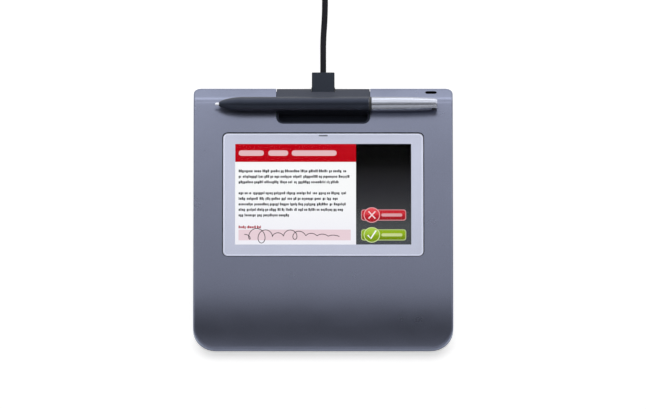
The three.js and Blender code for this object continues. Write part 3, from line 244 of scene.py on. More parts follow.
class CableSettings(bpy.types.PropertyGroup):
    """Sizes and colours of the cable."""

    diameter: length("Diameter", "Diameter of the cable", 0.0038)
    coil_pitch: length("Coil pitch", "Distance between turns that lie side by side", 0.00435)
    coil_radius: length("Coil radius", "Radius of the coil at the middle of its turns", 0.0225)
    layers: IntProperty(name="Layers", description="Layers of the coil", default=4, min=1)
    turns: IntProperty(name="Turns", description="Turns in each layer", default=5, min=1)
    steps: IntProperty(name="Steps", description="Steps round each turn", default=48, min=12)
    sides: IntProperty(name="Sides", description="Sides of the cable's section", default=14, min=6)
    jacket: colour("Jacket", "Cable jacket", (0.011, 0.011, 0.014))
    moulding: colour("Moulding", "Connector and plug", (0.023, 0.028, 0.040))


class SignaturePadSettings(bpy.types.PropertyGroup):
    """All sizes and colours of the dressed pad."""

    stage: PointerProperty(type=StageSettings)
    case: PointerProperty(type=CaseSettings)
    display: PointerProperty(type=DisplaySettings)
    pen: PointerProperty(type=PenSettings)
    cable: PointerProperty(type=CableSettings)


def settings():
    """The pad's settings in the present scene."""
    return bpy.context.scene.signature_pad


# Surfaces


def skin(loops, closed_ends=True):
    """Faces through a row of loops: quads between neighbouring loops, and one face over each end."""
    levels, count = loops.shape[:2]
    level, side = np.meshgrid(np.arange(levels - 1), np.arange(count), indexing="ij")
    here = level * count + side
    beside = level * count + (side + 1) % count
    quads = np.stack([here, beside, beside + count, here + count], axis=-1).reshape(-1, 4)
    faces = quads.tolist()
    if closed_ends:
        faces.append(list(range(count))[::-1])
        faces.append(list(range((levels - 1) * count, levels * count)))
    return loops.reshape(-1, 3), faces


def joined(shapes):
    """Several shapes as one list of points and faces."""
    points, faces, total = [], [], 0
    for shape_points, shape_faces in shapes:
        points.append(shape_points)
        faces += [[corner + total for corner in face] for face in shape_faces]
        total += len(shape_points)
    return np.concatenate(points), faces


def new_piece(name, shape, material, body="pad"):
    """Puts a shape into a mesh, merges its poles, turns its faces outwards and lets it ride on a body."""
    points, faces = shape
    mesh = bpy.data.meshes.new(name)
    mesh.from_pydata(np.asarray(points, float).tolist(), [], faces)
    work = bmesh.new()
    work.from_mesh(mesh)
    bmesh.ops.remove_doubles(work, verts=work.verts, dist=1e-7)
    bmesh.ops.recalc_face_normals(work, faces=work.faces)
    work.to_mesh(mesh)
    work.free()
    mesh.polygons.foreach_set("use_smooth", [True] * len(mesh.polygons))
    mesh.set_sharp_from_angle(angle=PIECE_EDGE)
    mesh.materials.append(material)
    piece = bpy.data.objects.new(name, mesh)
    bpy.context.scene.collection.objects.link(piece)
    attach(piece, body)
    return piece


def node_box(name):
    """Lowest and highest corner of a node, and the point halfway between them."""
    low, high = (np.array(corner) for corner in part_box(name))
    return low, high, (low + high) / 2


def rounded_outline(width, height, radius, steps):
    """Outline of a rounded rectangle: four quarter circles whose middles stand in by the radius."""
    angles = np.radians(90) * np.linspace(0, 1, steps + 1)
    angles = np.concatenate([angles + turn * math.pi / 2 for turn in range(4)])
    signs = np.repeat([[1, 1], [-1, 1], [-1, -1], [1, -1]], steps + 1, axis=0)
    middles = signs * [width / 2 - radius, height / 2 - radius]
    return middles + radius * np.stack([np.cos(angles), np.sin(angles)], axis=1)


def lifted(*flats):
    """Loops of points: flat outlines, each at its own height."""
    return np.array([np.column_stack([flat, np.full(len(flat), height)]) for flat, height in flats])


def plate(flat, bottom, top):
    """Plate with upright sides: one outline at two heights."""
    return skin(lifted((flat, bottom), (flat, top)))


def ring(outer, inner, bottom, top):
    """Loops of a flat ring: a square section, back to its first corner, between two outlines."""
    return lifted((outer, bottom), (outer, top), (inner, top), (inner, bottom), (outer, bottom))


def turned(points, first, second, angle):
    """Points turned from axis a towards axis b: a cos - b sin and b cos + a sin."""
    points = np.array(points, float)
    a, b = points[..., first].copy(), points[..., second].copy()
    points[..., first] = a * np.cos(angle) - b * np.sin(angle)
    points[..., second] = b * np.cos(angle) + a * np.sin(angle)
    return points


def on_screen(points):
    """Points of the screen's own plane, turned up by its tilt and moved to its middle."""
    return turned(points, 1, 2, SCREEN_TILT) + np.array(SCREEN_MIDDLE)


def scene_y(place):
    """Y in the scene of a place up the screen, in millimetres from its middle."""
    return float(on_screen((0, place * MM, 0))[1])


def screen_plate(outline, middle, depths):
    """Flat plate on the screen: one outline at two depths, in millimetres."""
    flat = np.asarray(outline) + middle
    return skin(on_screen(lifted(*((flat, depth) for depth in depths)) * MM))


def screen_bar(left, right, height, corner, middle, depths):
    """Rounded bar on the screen, in millimetres; without a corner radius its ends are nearly half circles."""
    outline = rounded_outline(right - left, height, corner or height / 2.2, 3)
    return screen_plate(outline, ((left + right) / 2, middle), depths)


def screen_ribbon(line, width, depths):
    """Ribbon along a line on the screen: the line, moved to either side by half the width."""
    line, (bottom, top) = np.asarray(line, float), depths
    ahead = np.gradient(line, axis=0)
    ahead /= np.linalg.norm(ahead, axis=1)[:, None]
    aside = np.column_stack([-ahead[:, 1], ahead[:, 0]]) * width / 2
    edges = lifted((line + aside, bottom), (line + aside, top), (line - aside, top), (line - aside, bottom))
    return skin(on_screen(edges.transpose(1, 0, 2) * MM))


def screen_ring(outer, inner, depths):
    """Flat ring on the screen, in millimetres."""
    return skin(on_screen(ring(outer, inner, *depths) * MM), closed_ends=False)


def smooth_route(points, per_span=8):
    """Centripetal Catmull-Rom curve through the points, all spans at once: Hermite cubics with those tangents."""
    points = np.asarray(points, float)
    padded = np.vstack([2 * points[0] - points[1], points, 2 * points[-1] - points[-2]])
    before, start, end, after = padded[:-3], padded[1:-2], padded[2:-1], padded[3:]
    gaps = [np.linalg.norm(b - a, axis=1)[:, None] ** 0.5 for a, b in ((before, start), (start, end), (end, after))]
    first, middle, last = gaps
    out = ((start - before) / first - (end - before) / (first + middle) + (end - start) / middle) * middle
    into = ((end - start) / middle - (after - start) / (middle + last) + (after - end) / last) * middle
    step = np.linspace(0, 1, per_span, endpoint=False)[None, :, None]
    start, end, out, into = (part[:, None, :] for part in (start, end, out, into))
    curve = start + out * step + (3 * (end - start) - 2 * out - into) * step**2
    curve = curve + (2 * (start - end) + out + into) * step**3
    return np.vstack([curve.reshape(-1, 3), points[-1]])


def tube(path, radius, sides):
    """Round tube along a path that never runs straight up: circles across each tangent."""
    ahead = np.gradient(path, axis=0)
    ahead /= np.linalg.norm(ahead, axis=1)[:, None]
    across = np.cross(ahead, (0.0, 0.0, 1.0))
    across /= np.linalg.norm(across, axis=1)[:, None]
    over = np.cross(across, ahead)
    angles = 2 * math.pi * (np.arange(sides) + 0.5) / sides
    circle = np.cos(angles)[None, :, None] * across[:, None] + np.sin(angles)[None, :, None] * over[:, None]
    return skin(path[:, None, :] + radius * circle)


# Materials


def add_node(tree, kind, inputs=None, **options):
    """A shader node with its options set and its inputs fed by numbers, colours or other nodes' outputs."""
    node = tree.nodes.new(kind)
    for option, value in options.items():
        setattr(node, option, value)
    for place, value in (inputs or {}).items():
        if isinstance(value, bpy.types.NodeSocket):
            tree.links.new(value, node.inputs[place])
        else:
            node.inputs[place].default_value = value
    return node


def start_material(name):
    """Material with an empty node tree."""
    material = bpy.data.materials.new(name)
    material.use_nodes = True
    material.node_tree.nodes.clear()
    return material, material.node_tree


def finish_material(material, shader):
    """Links a shader to the material's output."""
    add_node(material.node_tree, "ShaderNodeOutputMaterial", {"Surface": shader.outputs[0]})
    return material


def shaded(base, shade, lift=0):
    """A colour times a shade, plus a lift towards white."""
    return tuple(min(1.0, value * shade + lift) for value in base)


def calculated(tree, operation, *terms):
    """Result of a sum or the like, whose terms are outputs or numbers."""
    return add_node(tree, "ShaderNodeMath", dict(enumerate(terms)), operation=operation).outputs[0]


def spread(tree, value, reach, result, way="LINEAR"):
    """A value that runs from one end of the result to the other while another runs through its reach."""
    inputs = {"From Min": reach[0], "From Max": reach[1], "To Min": result[0], "To Max": result[1], "Value": value}
    return add_node(tree, "ShaderNodeMapRange", inputs, interpolation_type=way).outputs["Result"]


def coordinates(tree, stretch=(1, 1, 1)):
    """Object coordinates through a Mapping node."""
    source = add_node(tree, "ShaderNodeTexCoord").outputs["Object"]
    return add_node(tree, "ShaderNodeMapping", {"Vector": source, "Scale": stretch}).outputs["Vector"]


def grain(tree, size, result=(0.0, 1.0), detail=2.0, stretch=(1, 1, 1)):
    """Noise with features of about the given size, whose middle half is spread over the result."""
    inputs = {"Scale": 1 / size, "Detail": detail, "Vector": coordinates(tree, stretch)}
    noise = add_node(tree, "ShaderNodeTexNoise", inputs)
    return spread(tree, noise.outputs[0], (0.25, 0.75), result)


def tinted(tree, base, values):
    """A colour multiplied by one or more values. A Mix node's colours are its inputs 6 and 7 and its output 2."""
    result = (*base, 1)
    for value in values:
        inputs = {0: 1, 6: result, 7: value}
        result = add_node(tree, "ShaderNodeMix", inputs, data_type="RGBA", blend_type="MULTIPLY").outputs[2]
    return result


def bump(tree, height, depth):
    """Normal of a bump of the given depth from a height value."""
    return add_node(tree, "ShaderNodeBump", {"Strength": 1, "Distance": depth, "Height": height}).outputs["Normal"]


def moulded(name, base, roughness, metallic=0.0, fleck=0.0004, fleck_share=0.08, bump_size=0.0005,
            bump_depth=0.000006, cloud=0.03, stretch=(1, 1, 1), coat=0.0, shine=0.5, shine_tint=(1, 1, 1)):
    """Solid finish with fine grain: colour flecks, broad soft clouds, uneven roughness and a shallow bump."""
    material, tree = start_material(name)
    cloud_share, uneven = fleck_share / 3, 0.07
    flecks = grain(tree, fleck, (1 - fleck_share, 1 + fleck_share), 1.0, stretch)
    clouds = grain(tree, cloud, (1 - cloud_share, 1 + cloud_share))
    rough = grain(tree, cloud / 4, (roughness * (1 - uneven), min(1.0, roughness * (1 + uneven))), 3.0)
    return finish_material(material, add_node(tree, "ShaderNodeBsdfPrincipled", {
        "Base Color": tinted(tree, base, (flecks, clouds)), "Metallic": metallic, "Roughness": rough,
        "Specular IOR Level": shine, "Specular Tint": (*shine_tint, 1),
        "Coat Weight": coat, "Coat Roughness": 0.12,
        "Normal": bump(tree, grain(tree, bump_size, stretch=stretch), bump_depth),
    }))


def pixels(tree):
    """Fine grid of picture elements: two bands of waves across each other, as a value close to one."""
    bands = []
    for direction in ("X", "Y"):
        inputs = {"Scale": 2300, "Vector": coordinates(tree)}
        wave = add_node(tree, "ShaderNodeTexWave", inputs, bands_direction=direction)
        bands.append(spread(tree, wave.outputs["Fac"], (0, 1), (0.97, 1.03)))
    return calculated(tree, "MULTIPLY", *bands)


def ramped(tree, front, back, stops):
    """Colour that runs through the stops from the front to the back, by the place along Y."""
    along = add_node(tree, "ShaderNodeSeparateXYZ", {"Vector": coordinates(tree)}).outputs["Y"]
    ramp = add_node(tree, "ShaderNodeValToRGB", {"Fac": spread(tree, along, (front, back), (0, 1))})
    elements = ramp.color_ramp.elements
    for element, (place, stop) in zip((elements[0], elements[-1]), (stops[0], stops[-1])):
        element.position = place
        element.color = (*stop, 1)
    for place, stop in stops[1:-1]:
        elements.new(place).color = (*stop, 1)
    return ramp.outputs["Color"]


def glowing(name, base, strength, ramp=None):
    """Lit display colour under a fine grid of picture elements, with an optional ramp from front to back."""
    material, tree = start_material(name)
    values = [pixels(tree)] + ([ramped(tree, *ramp)] if ramp else [])
    return finish_material(material, add_node(tree, "ShaderNodeBsdfPrincipled", {
        "Base Color": (0, 0, 0, 1), "Specular IOR Level": 0, "Roughness": 0.6,
        "Emission Color": tinted(tree, base or (1, 1, 1), values), "Emission Strength": strength,
    }))


def clear_glass(name):
    """Clear pane: light passes straight through, and the surface mirrors more the flatter it is seen."""
    material, tree = start_material(name)
    through = add_node(tree, "ShaderNodeBsdfTransparent", {"Color": (0.985, 0.99, 0.99, 1)})
    inputs = {"Color": (1, 1, 1, 1), "Roughness": grain(tree, 0.02, (0.03, 0.05))}
    mirror = add_node(tree, "ShaderNodeBsdfGlossy", inputs)
    facing = add_node(tree, "ShaderNodeLayerWeight", {"Blend": 0.5}).outputs["Facing"]
    steepness, gain, least = 5, 0.48, 0.002
    level = calculated(tree, "MULTIPLY_ADD", calculated(tree, "POWER", facing, steepness), gain, least)
    inputs = {0: level, 1: through.outputs[0], 2: mirror.outputs[0]}
    return finish_material(material, add_node(tree, "ShaderNodeMixShader", inputs))


def circuit_board(name):
    """Green solder mask over a fine pattern of traces."""
    material, tree = start_material(name)
    brick = add_node(tree, "ShaderNodeTexBrick", {
        "Color1": (0.008, 0.095, 0.035, 1), "Color2": (0.010, 0.120, 0.045, 1), "Mortar": (0.020, 0.180, 0.070, 1),
        "Scale": 420, "Mortar Size": 0.06, "Vector": coordinates(tree),
    })
    return finish_material(material, add_node(tree, "ShaderNodeBsdfPrincipled", {
        "Base Color": brick.outputs["Color"], "Roughness": 0.35, "Normal": bump(tree, brick.outputs["Fac"], 0.00002),
    }))


# Dressing of the nodes that stay


def smooth_node(node):
    """Rounds the shading of a node between its real edges; its mesh stays as it is."""
    node.data.polygons.foreach_set("use_smooth", [True] * len(node.data.polygons))
    weld = node.modifiers.new("Joined corners", "WELD")
    weld.merge_threshold = 1e-6
    split = node.modifiers.new("Real edges", "EDGE_SPLIT")
    split.split_angle = NODE_EDGE
    normals = node.modifiers.new("Even shading", "WEIGHTED_NORMAL")
    normals.weight = 50


def dress(material, *names, smooth=True):
    """Gives a material to nodes, and smooth shading to those that are rounded."""
    for name in names:
        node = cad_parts[name]
        node.data.materials.clear()
        node.data.materials.append(material)
        if smooth:
            smooth_node(node)


# Operators


class SIGNATURE_PAD_OT_stage(bpy.types.Operator):
    """Makes the camera, the soft lights, the surroundings and the floor"""

    bl_idname = "signature_pad.stage"
    bl_label = "Stage"

    def execute(self, context):
        stage = settings().stage
        self.add_camera(context, stage)
        self.add_surroundings(context, stage)
        self.add_lights(context, stage)
        self.add_floor(context, stage)
        return {"FINISHED"}

    def add_camera(self, context, stage):
        """The photograph's camera, high in front and so far off that its rays are nearly parallel."""
        data = bpy.data.cameras.new("photo_camera")
        data.lens = stage.lens
        data.sensor_width = 36
        data.clip_end = 100
        camera = bpy.data.objects.new("photo_camera", data)
        context.scene.collection.objects.link(camera)
        back = Vector((0, -math.cos(stage.elevation), math.sin(stage.elevation)))
        camera.location = Vector(stage.target) + back * stage.camera_distance
        camera.rotation_euler = (math.pi / 2 - stage.elevation, 0, 0)
        context.scene.camera = camera

    def add_surroundings(self, context, stage):
        """Dim overhead, brighter near the horizon, and white to the camera."""
        world = bpy.data.worlds.new("surroundings")
        world.use_nodes = True
        tree = world.node_tree
        direction = add_node(tree, "ShaderNodeTexCoord").outputs["Generated"]
        up = add_node(tree, "ShaderNodeSeparateXYZ", {"Vector": direction}).outputs["Z"]
        height = spread(tree, up, (0.30, 0.62), (stage.horizon, stage.ambient), "SMOOTHSTEP")
        camera_ray = add_node(tree, "ShaderNodeLightPath").outputs["Is Camera Ray"]
        dim = tree.nodes["Background"]
        dim.inputs["Color"].default_value = (1, 1, 1, 1)
        tree.links.new(calculated(tree, "MAXIMUM", camera_ray, height), dim.inputs["Strength"])
        context.scene.world = world

    def add_lights(self, context, stage):
        """Soft panels close round the pad: a roof that comes down behind it, a gap in front, and two high sides."""
        pad = (0, 0.03, 0.01)
        roof, front, side = stage.roof_light, stage.front_light, stage.side_light
        for name, place, aim, size, radiance in (
            ("roof_front", (0, 0.0975, 0.31), (0, 0.0975, 0), (0.9, 0.165), roof),
            ("roof_middle", (0, 0.23, 0.31), (0, 0.23, 0), (0.9, 0.10), roof * 2.5),
            ("roof_back", (0, 0.365, 0.31), (0, 0.365, 0), (1.0, 0.17), roof * 1.45),
            ("rear_high", (0, 0.60, 0.25), pad, (1.3, 0.316), roof * 1.45),
            ("rear_low", (0, 0.78, 0.22), (0, 0, 0.22), (1.3, 0.44), stage.rear_light),
            ("front_near", (0, -0.186, 0.31), (0, -0.186, 0), (0.9, 0.108), front),
            ("front_middle", (0, -0.33, 0.31), (0, -0.33, 0), (0.9, 0.18), front * 0.6),
            ("front_far", (0, -0.58, 0.31), (0, -0.10, 0), (1.0, 0.30), front * 0.6),
            ("left_high", (-0.5, 0.1, 0.5), pad, (0.5, 0.4), side),
            ("right_high", (0.5, 0.1, 0.5), pad, (0.5, 0.4), side),
        ):
            data = bpy.data.lights.new(name, "AREA")
            data.shape = "RECTANGLE"
            data.size, data.size_y = size
            data.energy = 4 * math.prod(size) * radiance
            light = bpy.data.objects.new(name, data)
            context.scene.collection.objects.link(light)
            light.location = place
            light.rotation_euler = (Vector(aim) - Vector(place)).to_track_quat("-Z", "Y").to_euler()
            light.visible_camera = False

    def add_floor(self, context, stage):
        """Plain pale floor; to the camera and in mirrors it adds its own white, least just in front of the pad."""
        material, tree = start_material("pale_floor")
        along = add_node(tree, "ShaderNodeSeparateXYZ", {"Vector": coordinates(tree)}).outputs["Y"]
        reach = add_node(tree, "ShaderNodeVectorMath", {0: coordinates(tree)}, operation="LENGTH").outputs["Value"]
        # The floor is white behind the lip's line, beyond the lip's shadow and away from the pad.
        elsewhere = 0.0
        for place, ends in ((along, (-0.092, -0.070)), (along, (-0.100, -0.122)), (reach, (0.14, 0.20))):
            step = spread(tree, place, ends, (0, 1), "SMOOTHSTEP")
            elsewhere = calculated(tree, "MAXIMUM", step, elsewhere)
        shading = spread(tree, elsewhere, (0, 1), (1, stage.floor_shading), "SMOOTHSTEP")
        own = spread(tree, elsewhere, (0, 1), (stage.front_glow, stage.floor_glow), "SMOOTHSTEP")
        distant = spread(tree, reach, (0.24, 0.45), (0, stage.far_glow), "SMOOTHSTEP")
        inputs = {"Color": (1, 1, 1, 1), "Strength": calculated(tree, "ADD", own, distant)}
        glow = add_node(tree, "ShaderNodeEmission", inputs)
        shade = add_node(tree, "ShaderNodeBsdfDiffuse", {"Color": shading})
        white = add_node(tree, "ShaderNodeAddShader", {0: shade.outputs[0], 1: glow.outputs[0]})
        lit = add_node(tree, "ShaderNodeBsdfDiffuse", {"Color": (0.8, 0.8, 0.8, 1)})
        path = add_node(tree, "ShaderNodeLightPath")
        seen = path.outputs["Is Camera Ray"]
        for other in ("Is Glossy Ray", "Is Transmission Ray"):
            seen = calculated(tree, "MAXIMUM", path.outputs[other], seen)
        inputs = {0: seen, 1: lit.outputs[0], 2: white.outputs[0]}
        finish_material(material, add_node(tree, "ShaderNodeMixShader", inputs))
        half = 12
        corners = [(half * x, half * y, 0) for x, y in ((-1, -1), (1, -1), (1, 1), (-1, 1))]
        mesh = bpy.data.meshes.new("floor")
        mesh.from_pydata(corners, [], [(0, 1, 2, 3)])
        mesh.materials.append(material)
        floor = bpy.data.objects.new("floor", mesh)
        context.scene.collection.objects.link(floor)


class SIGNATURE_PAD_OT_cable(bpy.types.Operator):
    """Lays the cable: the free run, the coil in its tie and the short tail to the plug"""

    bl_idname = "signature_pad.cable"
    bl_label = "Cable"

    def execute(self, context):
        cable = settings().cable
        start = np.array(CABLE_START) * MM
        run, tail = (smooth_route(np.array(route) * MM + start) for route in (RUN_ROUTE, TAIL_ROUTE))
        path = np.vstack([run, self.coil(cable), tail])
        jacket = moulded(
            "cable_jacket", cable.jacket, 0.5, fleck=0.0002, fleck_share=0.06, bump_size=0.0006, bump_depth=0.00001,
            shine=0.04,
        )
        piece = new_piece("cable", tube(path, cable.diameter / 2, cable.sides), jacket, "cable")
        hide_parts("cable_run", "cable_coil", "cable_tail")
        # The photograph has no coil behind the pad, so the rear slope doesn't mirror it.
        piece.visible_glossy = False
        self.dress_ends(cable)
        return {"FINISHED"}

    def coil(self, cable):
        """Spiral that winds in and out by one pitch a turn and climbs smoothly at each reversal."""
        total = cable.layers * cable.turns
        turn = np.linspace(0, total, total * cable.steps + 1)
        layer = np.minimum(np.floor(turn / cable.turns), cable.layers - 1)
        within = turn - layer * cable.turns
        inwards = np.where(layer % 2 == 0, within, cable.turns - within)
        outer = cable.coil_radius + cable.coil_pitch * cable.turns / 2
        radius = outer - cable.coil_pitch * inwards
        climbed = np.zeros_like(turn)
        climb_turns = 0.5
        for reversal in range(1, cable.layers):
            step = np.clip((turn - reversal * cable.turns + climb_turns / 2) / climb_turns, 0, 1)
            climbed += step * step * (3 - 2 * step)
        angle = 2 * math.pi * turn
        points = np.column_stack([radius * np.cos(angle) - outer, radius * np.sin(angle), cable.coil_pitch * climbed])
        lead = np.array([[0, -cable.diameter, 0]])
        end = points[-1:] + [[0, cable.diameter, 0]]
        return turned(np.vstack([lead, points, end]), 2, 0, COIL_LEAN) + np.array(COIL_START) * MM

    def dress_ends(self, cable):
        """Finishes the connector and the plug, and puts painted shade on the two windows in the plug's shell: dark
        plates in place of holes.
        """
        shell = moulded("connector_plastic", cable.moulding, 0.5, bump_size=0.0004, bump_depth=0.000008, shine=0.06)
        dress(shell, "cable_connector", "computer_plug_body")
        steel = moulded(
            "plated_steel", (0.40, 0.41, 0.44), 0.28, 1.0, bump_size=0.0002, bump_depth=0.000003, stretch=(1, 12, 12),
        )
        dress(steel, "connector_tongue", "computer_plug_shell")
        dress(moulded("plug_tongue", (0.02, 0.025, 0.05), 0.45), "computer_plug_tongue", smooth=False)
        dress(moulded("tie_rubber", (0.012, 0.012, 0.014), 0.75, bump_depth=0.00002), "cable_tie")
        width, depth, aside, ahead = 0.0023, 0.0018, 0.0027, 0.001
        high, middle = node_box("computer_plug_shell")[1:]
        windows = []
        for side in (-1, 1):
            flat = rounded_outline(width, depth, 0.0001, 2) + (middle[:2] + (side * aside, ahead))
            windows.append(plate(flat, high[2] - 0.0001, high[2] + 0.00001))
        # Dark plates over the two windows: painted shade of the holes in the shell
        dark = moulded("plug_window_shade", (0.01, 0.01, 0.012), 0.7)
        new_piece("plug_window_shades", joined(windows), dark, "cable")


class SIGNATURE_PAD_OT_case(bpy.types.Operator):
    """Finishes the covers, the tray, the feet, the screws and the lock slot"""

    bl_idname = "signature_pad.case"
    bl_label = "Case"

    def execute(self, context):
        case = settings().case
        paint = moulded(
            "case_paint", case.paint, case.paint_roughness, 0.85, fleck=case.flake_size, fleck_share=0.10,
            bump_size=0.0004, bump_depth=0.000004, cloud=0.05, shine_tint=PAINT_SHINE,
        )
        dress(paint, "top_cover")
        dress(moulded("bottom_plastic", case.bottom, 0.6, bump_size=0.0007, bump_depth=0.00003), "bottom_cover")
        tray = moulded(
            "tray_plastic", case.tray, 0.4, bump_size=0.0004, bump_depth=0.00001, shine=0.42, shine_tint=COOL,
        )
        dress(tray, "pen_tray")
        rubber = moulded("foot_rubber", (0.010, 0.010, 0.011), 0.85, bump_size=0.0006, bump_depth=0.00004)
        dress(rubber, *[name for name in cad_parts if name.startswith("foot_")])
        steel = moulded("screw_steel", (0.40, 0.41, 0.43), 0.32, 1.0, bump_size=0.0003, bump_depth=0.000005)
        dress(steel, *[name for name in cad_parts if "_screw_" in name], "lock_plate")
        # Black for painted shade in the lock slot, the connector's gap and the screws' cross recesses
        black = moulded("painted_shade_black", (0.0015, 0.0015, 0.002), 0.7, shine=0.1)
        self.line_and_shade_lock_slot(black)
        self.seal_and_shade_connector_gap(black)
        self.paint_screw_recess_shade(black)
        return {"FINISHED"}

    def line_and_shade_lock_slot(self, material):
        """Black sleeve in the lock slot, partly painted shade of the slot's depth: a ring, turned down to the back
        with the slope.
        """
        width, height, wall, top, bottom = 7.26, 2.96, 0.23, -0.06, -1.95
        outer = rounded_outline(width, height, 1.47, 8)
        inner = rounded_outline(width - 2 * wall, height - 2 * wall, 1.24, 8)
        sleeve = turned(ring(outer, inner, bottom, top), 2, 1, REAR_SLOPE) + LOCK_SLOT_MIDDLE
        new_piece("lock_slot_shade_liner", skin(sleeve * MM, closed_ends=False), material)

    def seal_and_shade_connector_gap(self, material):
        """Two thin black strips that close the gap between the connector and the sides of its notch: a seal, and
        painted shade of the gap.
        """
        width, depth, aside, back, bottom, top = 0.26, 7.4, 7.255, 83.1, 3.2, 9.3
        flat = rounded_outline(width, depth, 0.1, 3)
        strips = [plate((flat + (side * aside, back)) * MM, bottom * MM, top * MM) for side in (-1, 1)]
        new_piece("connector_gap_seal_shade", joined(strips), material)

    def paint_screw_recess_shade(self, material):
        """Painted shade of a cross recess in each housing screw's head: two dark crossed bars, level with the head."""
        reach, width, proud, sunk = 2.5, 0.62, 0.00001, 0.0002
        bars = []
        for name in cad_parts:
            if name.startswith("housing_screw"):
                low, _, middle = node_box(name)
                for turn, size in enumerate(((reach, width), (width, reach))):
                    flat = rounded_outline(*size, 0.2, 2) * MM + middle[:2]
                    bars.append(plate(flat, low[2] - proud * (1 + turn), low[2] + sunk))
        new_piece("screw_recess_shades", joined(bars), material)


class SIGNATURE_PAD_OT_display(bpy.types.Operator):
    """Finishes the display stack and draws the image: header, page, bars, strip, squiggle and buttons"""

    bl_idname = "signature_pad.display"
    bl_label = "Display"

    def execute(self, context):
        case, display = settings().case, settings().display
        finish = {"fleck": 0.0002, "fleck_share": 0.025, "bump_depth": 0.000001, "coat": 0.3}
        dress(clear_glass("cover_glass"), "cover_glass")
        steel = moulded("sheet_steel", (0.5, 0.5, 0.52), 0.35, 1.0, bump_size=0.0002, bump_depth=0.000004)
        chip = moulded("chip_resin", (0.013, 0.013, 0.015), 0.5, bump_size=0.0003, bump_depth=0.00001)
        flex = moulded("flat_cable", (0.42, 0.16, 0.03), 0.35, bump_size=0.0006, bump_depth=0.00002, stretch=(1, 0, 0))
        for material, *names in (
            (moulded("border_print", case.border, 0.45, **finish), "border_film"),
            (moulded("foam", (0.02, 0.02, 0.022), 0.95, bump_depth=0.0001), "screen_gasket"),
            (moulded("panel_glass", (0.03, 0.03, 0.035), 0.2), "display_panel"),
            (moulded("clear_plastic", (0.62, 0.65, 0.68), 0.25, coat=0.5), "backlight", "light_pipe", "status_light"),
            (steel, "display_frame", "shield_plate", "cable_socket"),
            (circuit_board("circuit_board"), "pen_sensor_board", "main_board", "pen_board"),
            (chip, "processor_chip", "sensor_chip", "display_connector", "sensor_connector"),
            (flex, "display_flat_cable", "sensor_flat_cable"),
        ):
            dress(material, *names, smooth=False)
        self.print_border(case, display, finish)
        self.draw(display)
        self.button("cross", display.cancel, **BUTTONS["cross"])
        self.button("check", display.accept, **BUTTONS["check"])
        return {"FINISHED"}

    def print_border(self, case, display, finish):
        """Print on the underside of the glass: a ring round the window, a paler rim of painted highlight from the
        glass's edge, a black seal that is partly painted shade of its groove, and the mark of the light.
        """
        bare, slack, seat_gap = 0.4, 0.01, 0.39
        glass = display.glass_width / MM, display.glass_height / MM
        width, height = glass[0] - bare, glass[1] - bare
        corner, rim = display.glass_corner / MM, display.print_rim / MM
        outer = rounded_outline(width, height, corner, 10)
        within = rounded_outline(width - 2 * rim, height - 2 * rim, corner - rim, 10)
        window = rounded_outline(display.width / MM, display.height / MM, 0.3, 10) + (0, display.shift / MM)
        printed = moulded("glass_print", case.border, 0.45, **finish)
        new_piece("display_print", screen_ring(outer, window, PRINT_DEPTHS), printed)
        # Paler rim: painted highlight where the glass's edge catches the light
        edge_glint = moulded("glass_edge_highlight", case.border_highlight, 0.45, **finish)
        new_piece("display_edge_highlight", screen_ring(outer, within, RIM_DEPTHS), edge_glint)
        seat, pane = (
            rounded_outline(glass[0] + 2 * gap, glass[1] + 2 * gap, corner + rounding, 10)
            for gap, rounding in ((seat_gap, seat_gap - slack), (slack, slack))
        )
        # Black seal in the groove round the pane: a seal, and painted shade of the groove
        seal = moulded("glass_seal_shade", (0.003, 0.003, 0.004), 0.7, shine=0.1)
        new_piece("glass_seal_shade", screen_ring(seat, pane, SEAL_DEPTHS), seal)
        mark = screen_bar(*LIGHT_MARK, RIM_DEPTHS)
        new_piece("display_light_mark", mark, moulded("light_mark", case.light_mark, 0.5))

    def draw(self, display):
        """The lit image: page, header, words, strip, squiggle and dark side panel."""
        front, back = ((display.shift + side * display.height / 2) / MM for side in (-1, 1))
        across = display.width / 2 / MM + OVERLAP
        ends = scene_y(front), scene_y(back)
        page = ((0.0, display.page_front), (0.5, display.page), (1.0, display.page))
        edges = front - OVERLAP, back + OVERLAP
        self.show("display_page", [self.rectangle((-across, PAGE_RIGHT), edges, 0)], None, (*ends, page))
        header = self.rectangle((-across, PAGE_RIGHT), (HEADER_FRONT, edges[1]), 1)
        self.show("display_header", [header], display.header)
        bars = [screen_bar(*sides, HEADER_BAR_HEIGHT, None, HEADER_MIDDLE, self.level(2)) for sides in HEADER_BARS]
        self.show("display_header_bars", bars, (0.80, 0.50, 0.52))
        random = np.random.default_rng(7)
        blocks = [block for middle, right in TEXT_LINES for block in self.text_blocks(random, right, middle)]
        self.show("display_text", blocks, display.ink)
        self.show("display_caption", self.text_blocks(random, CAPTION_RIGHT, CAPTION_MIDDLE), (0.40, 0.03, 0.05))
        self.show("display_strip", [self.rectangle(STRIP_SIDES, STRIP_ENDS, 1)], display.strip)
        squiggle = screen_ribbon(self.squiggle(), SQUIGGLE_WIDTH, self.level(3))
        self.show("display_squiggle", [squiggle], (0.05, 0.04, 0.05))
        panel = self.rectangle((PAGE_RIGHT, across), edges, 0)
        self.show("display_side_panel", [panel], None, (*ends, PANEL_STOPS))

    def level(self, layer):
        """Depths of a layer of the image, from its underside to its top."""
        return LAYER_UNDERSIDE + LAYER_STEP * layer, LAYER_TOP + LAYER_STEP * layer

    def rectangle(self, sides, ends, layer):
        """Rectangle of the image from its left to its right side and from its front to its rear end."""
        outline = rounded_outline(sides[1] - sides[0], ends[1] - ends[0], 0.05, 1)
        return screen_plate(outline, (sum(sides) / 2, sum(ends) / 2), self.level(layer))

    def show(self, name, shapes, base, ramp=None):
        """Puts shapes on the screen as one lit piece."""
        light = glowing(f"{name}_light", base, settings().display.glow, ramp)
        new_piece(name, joined(shapes), light)

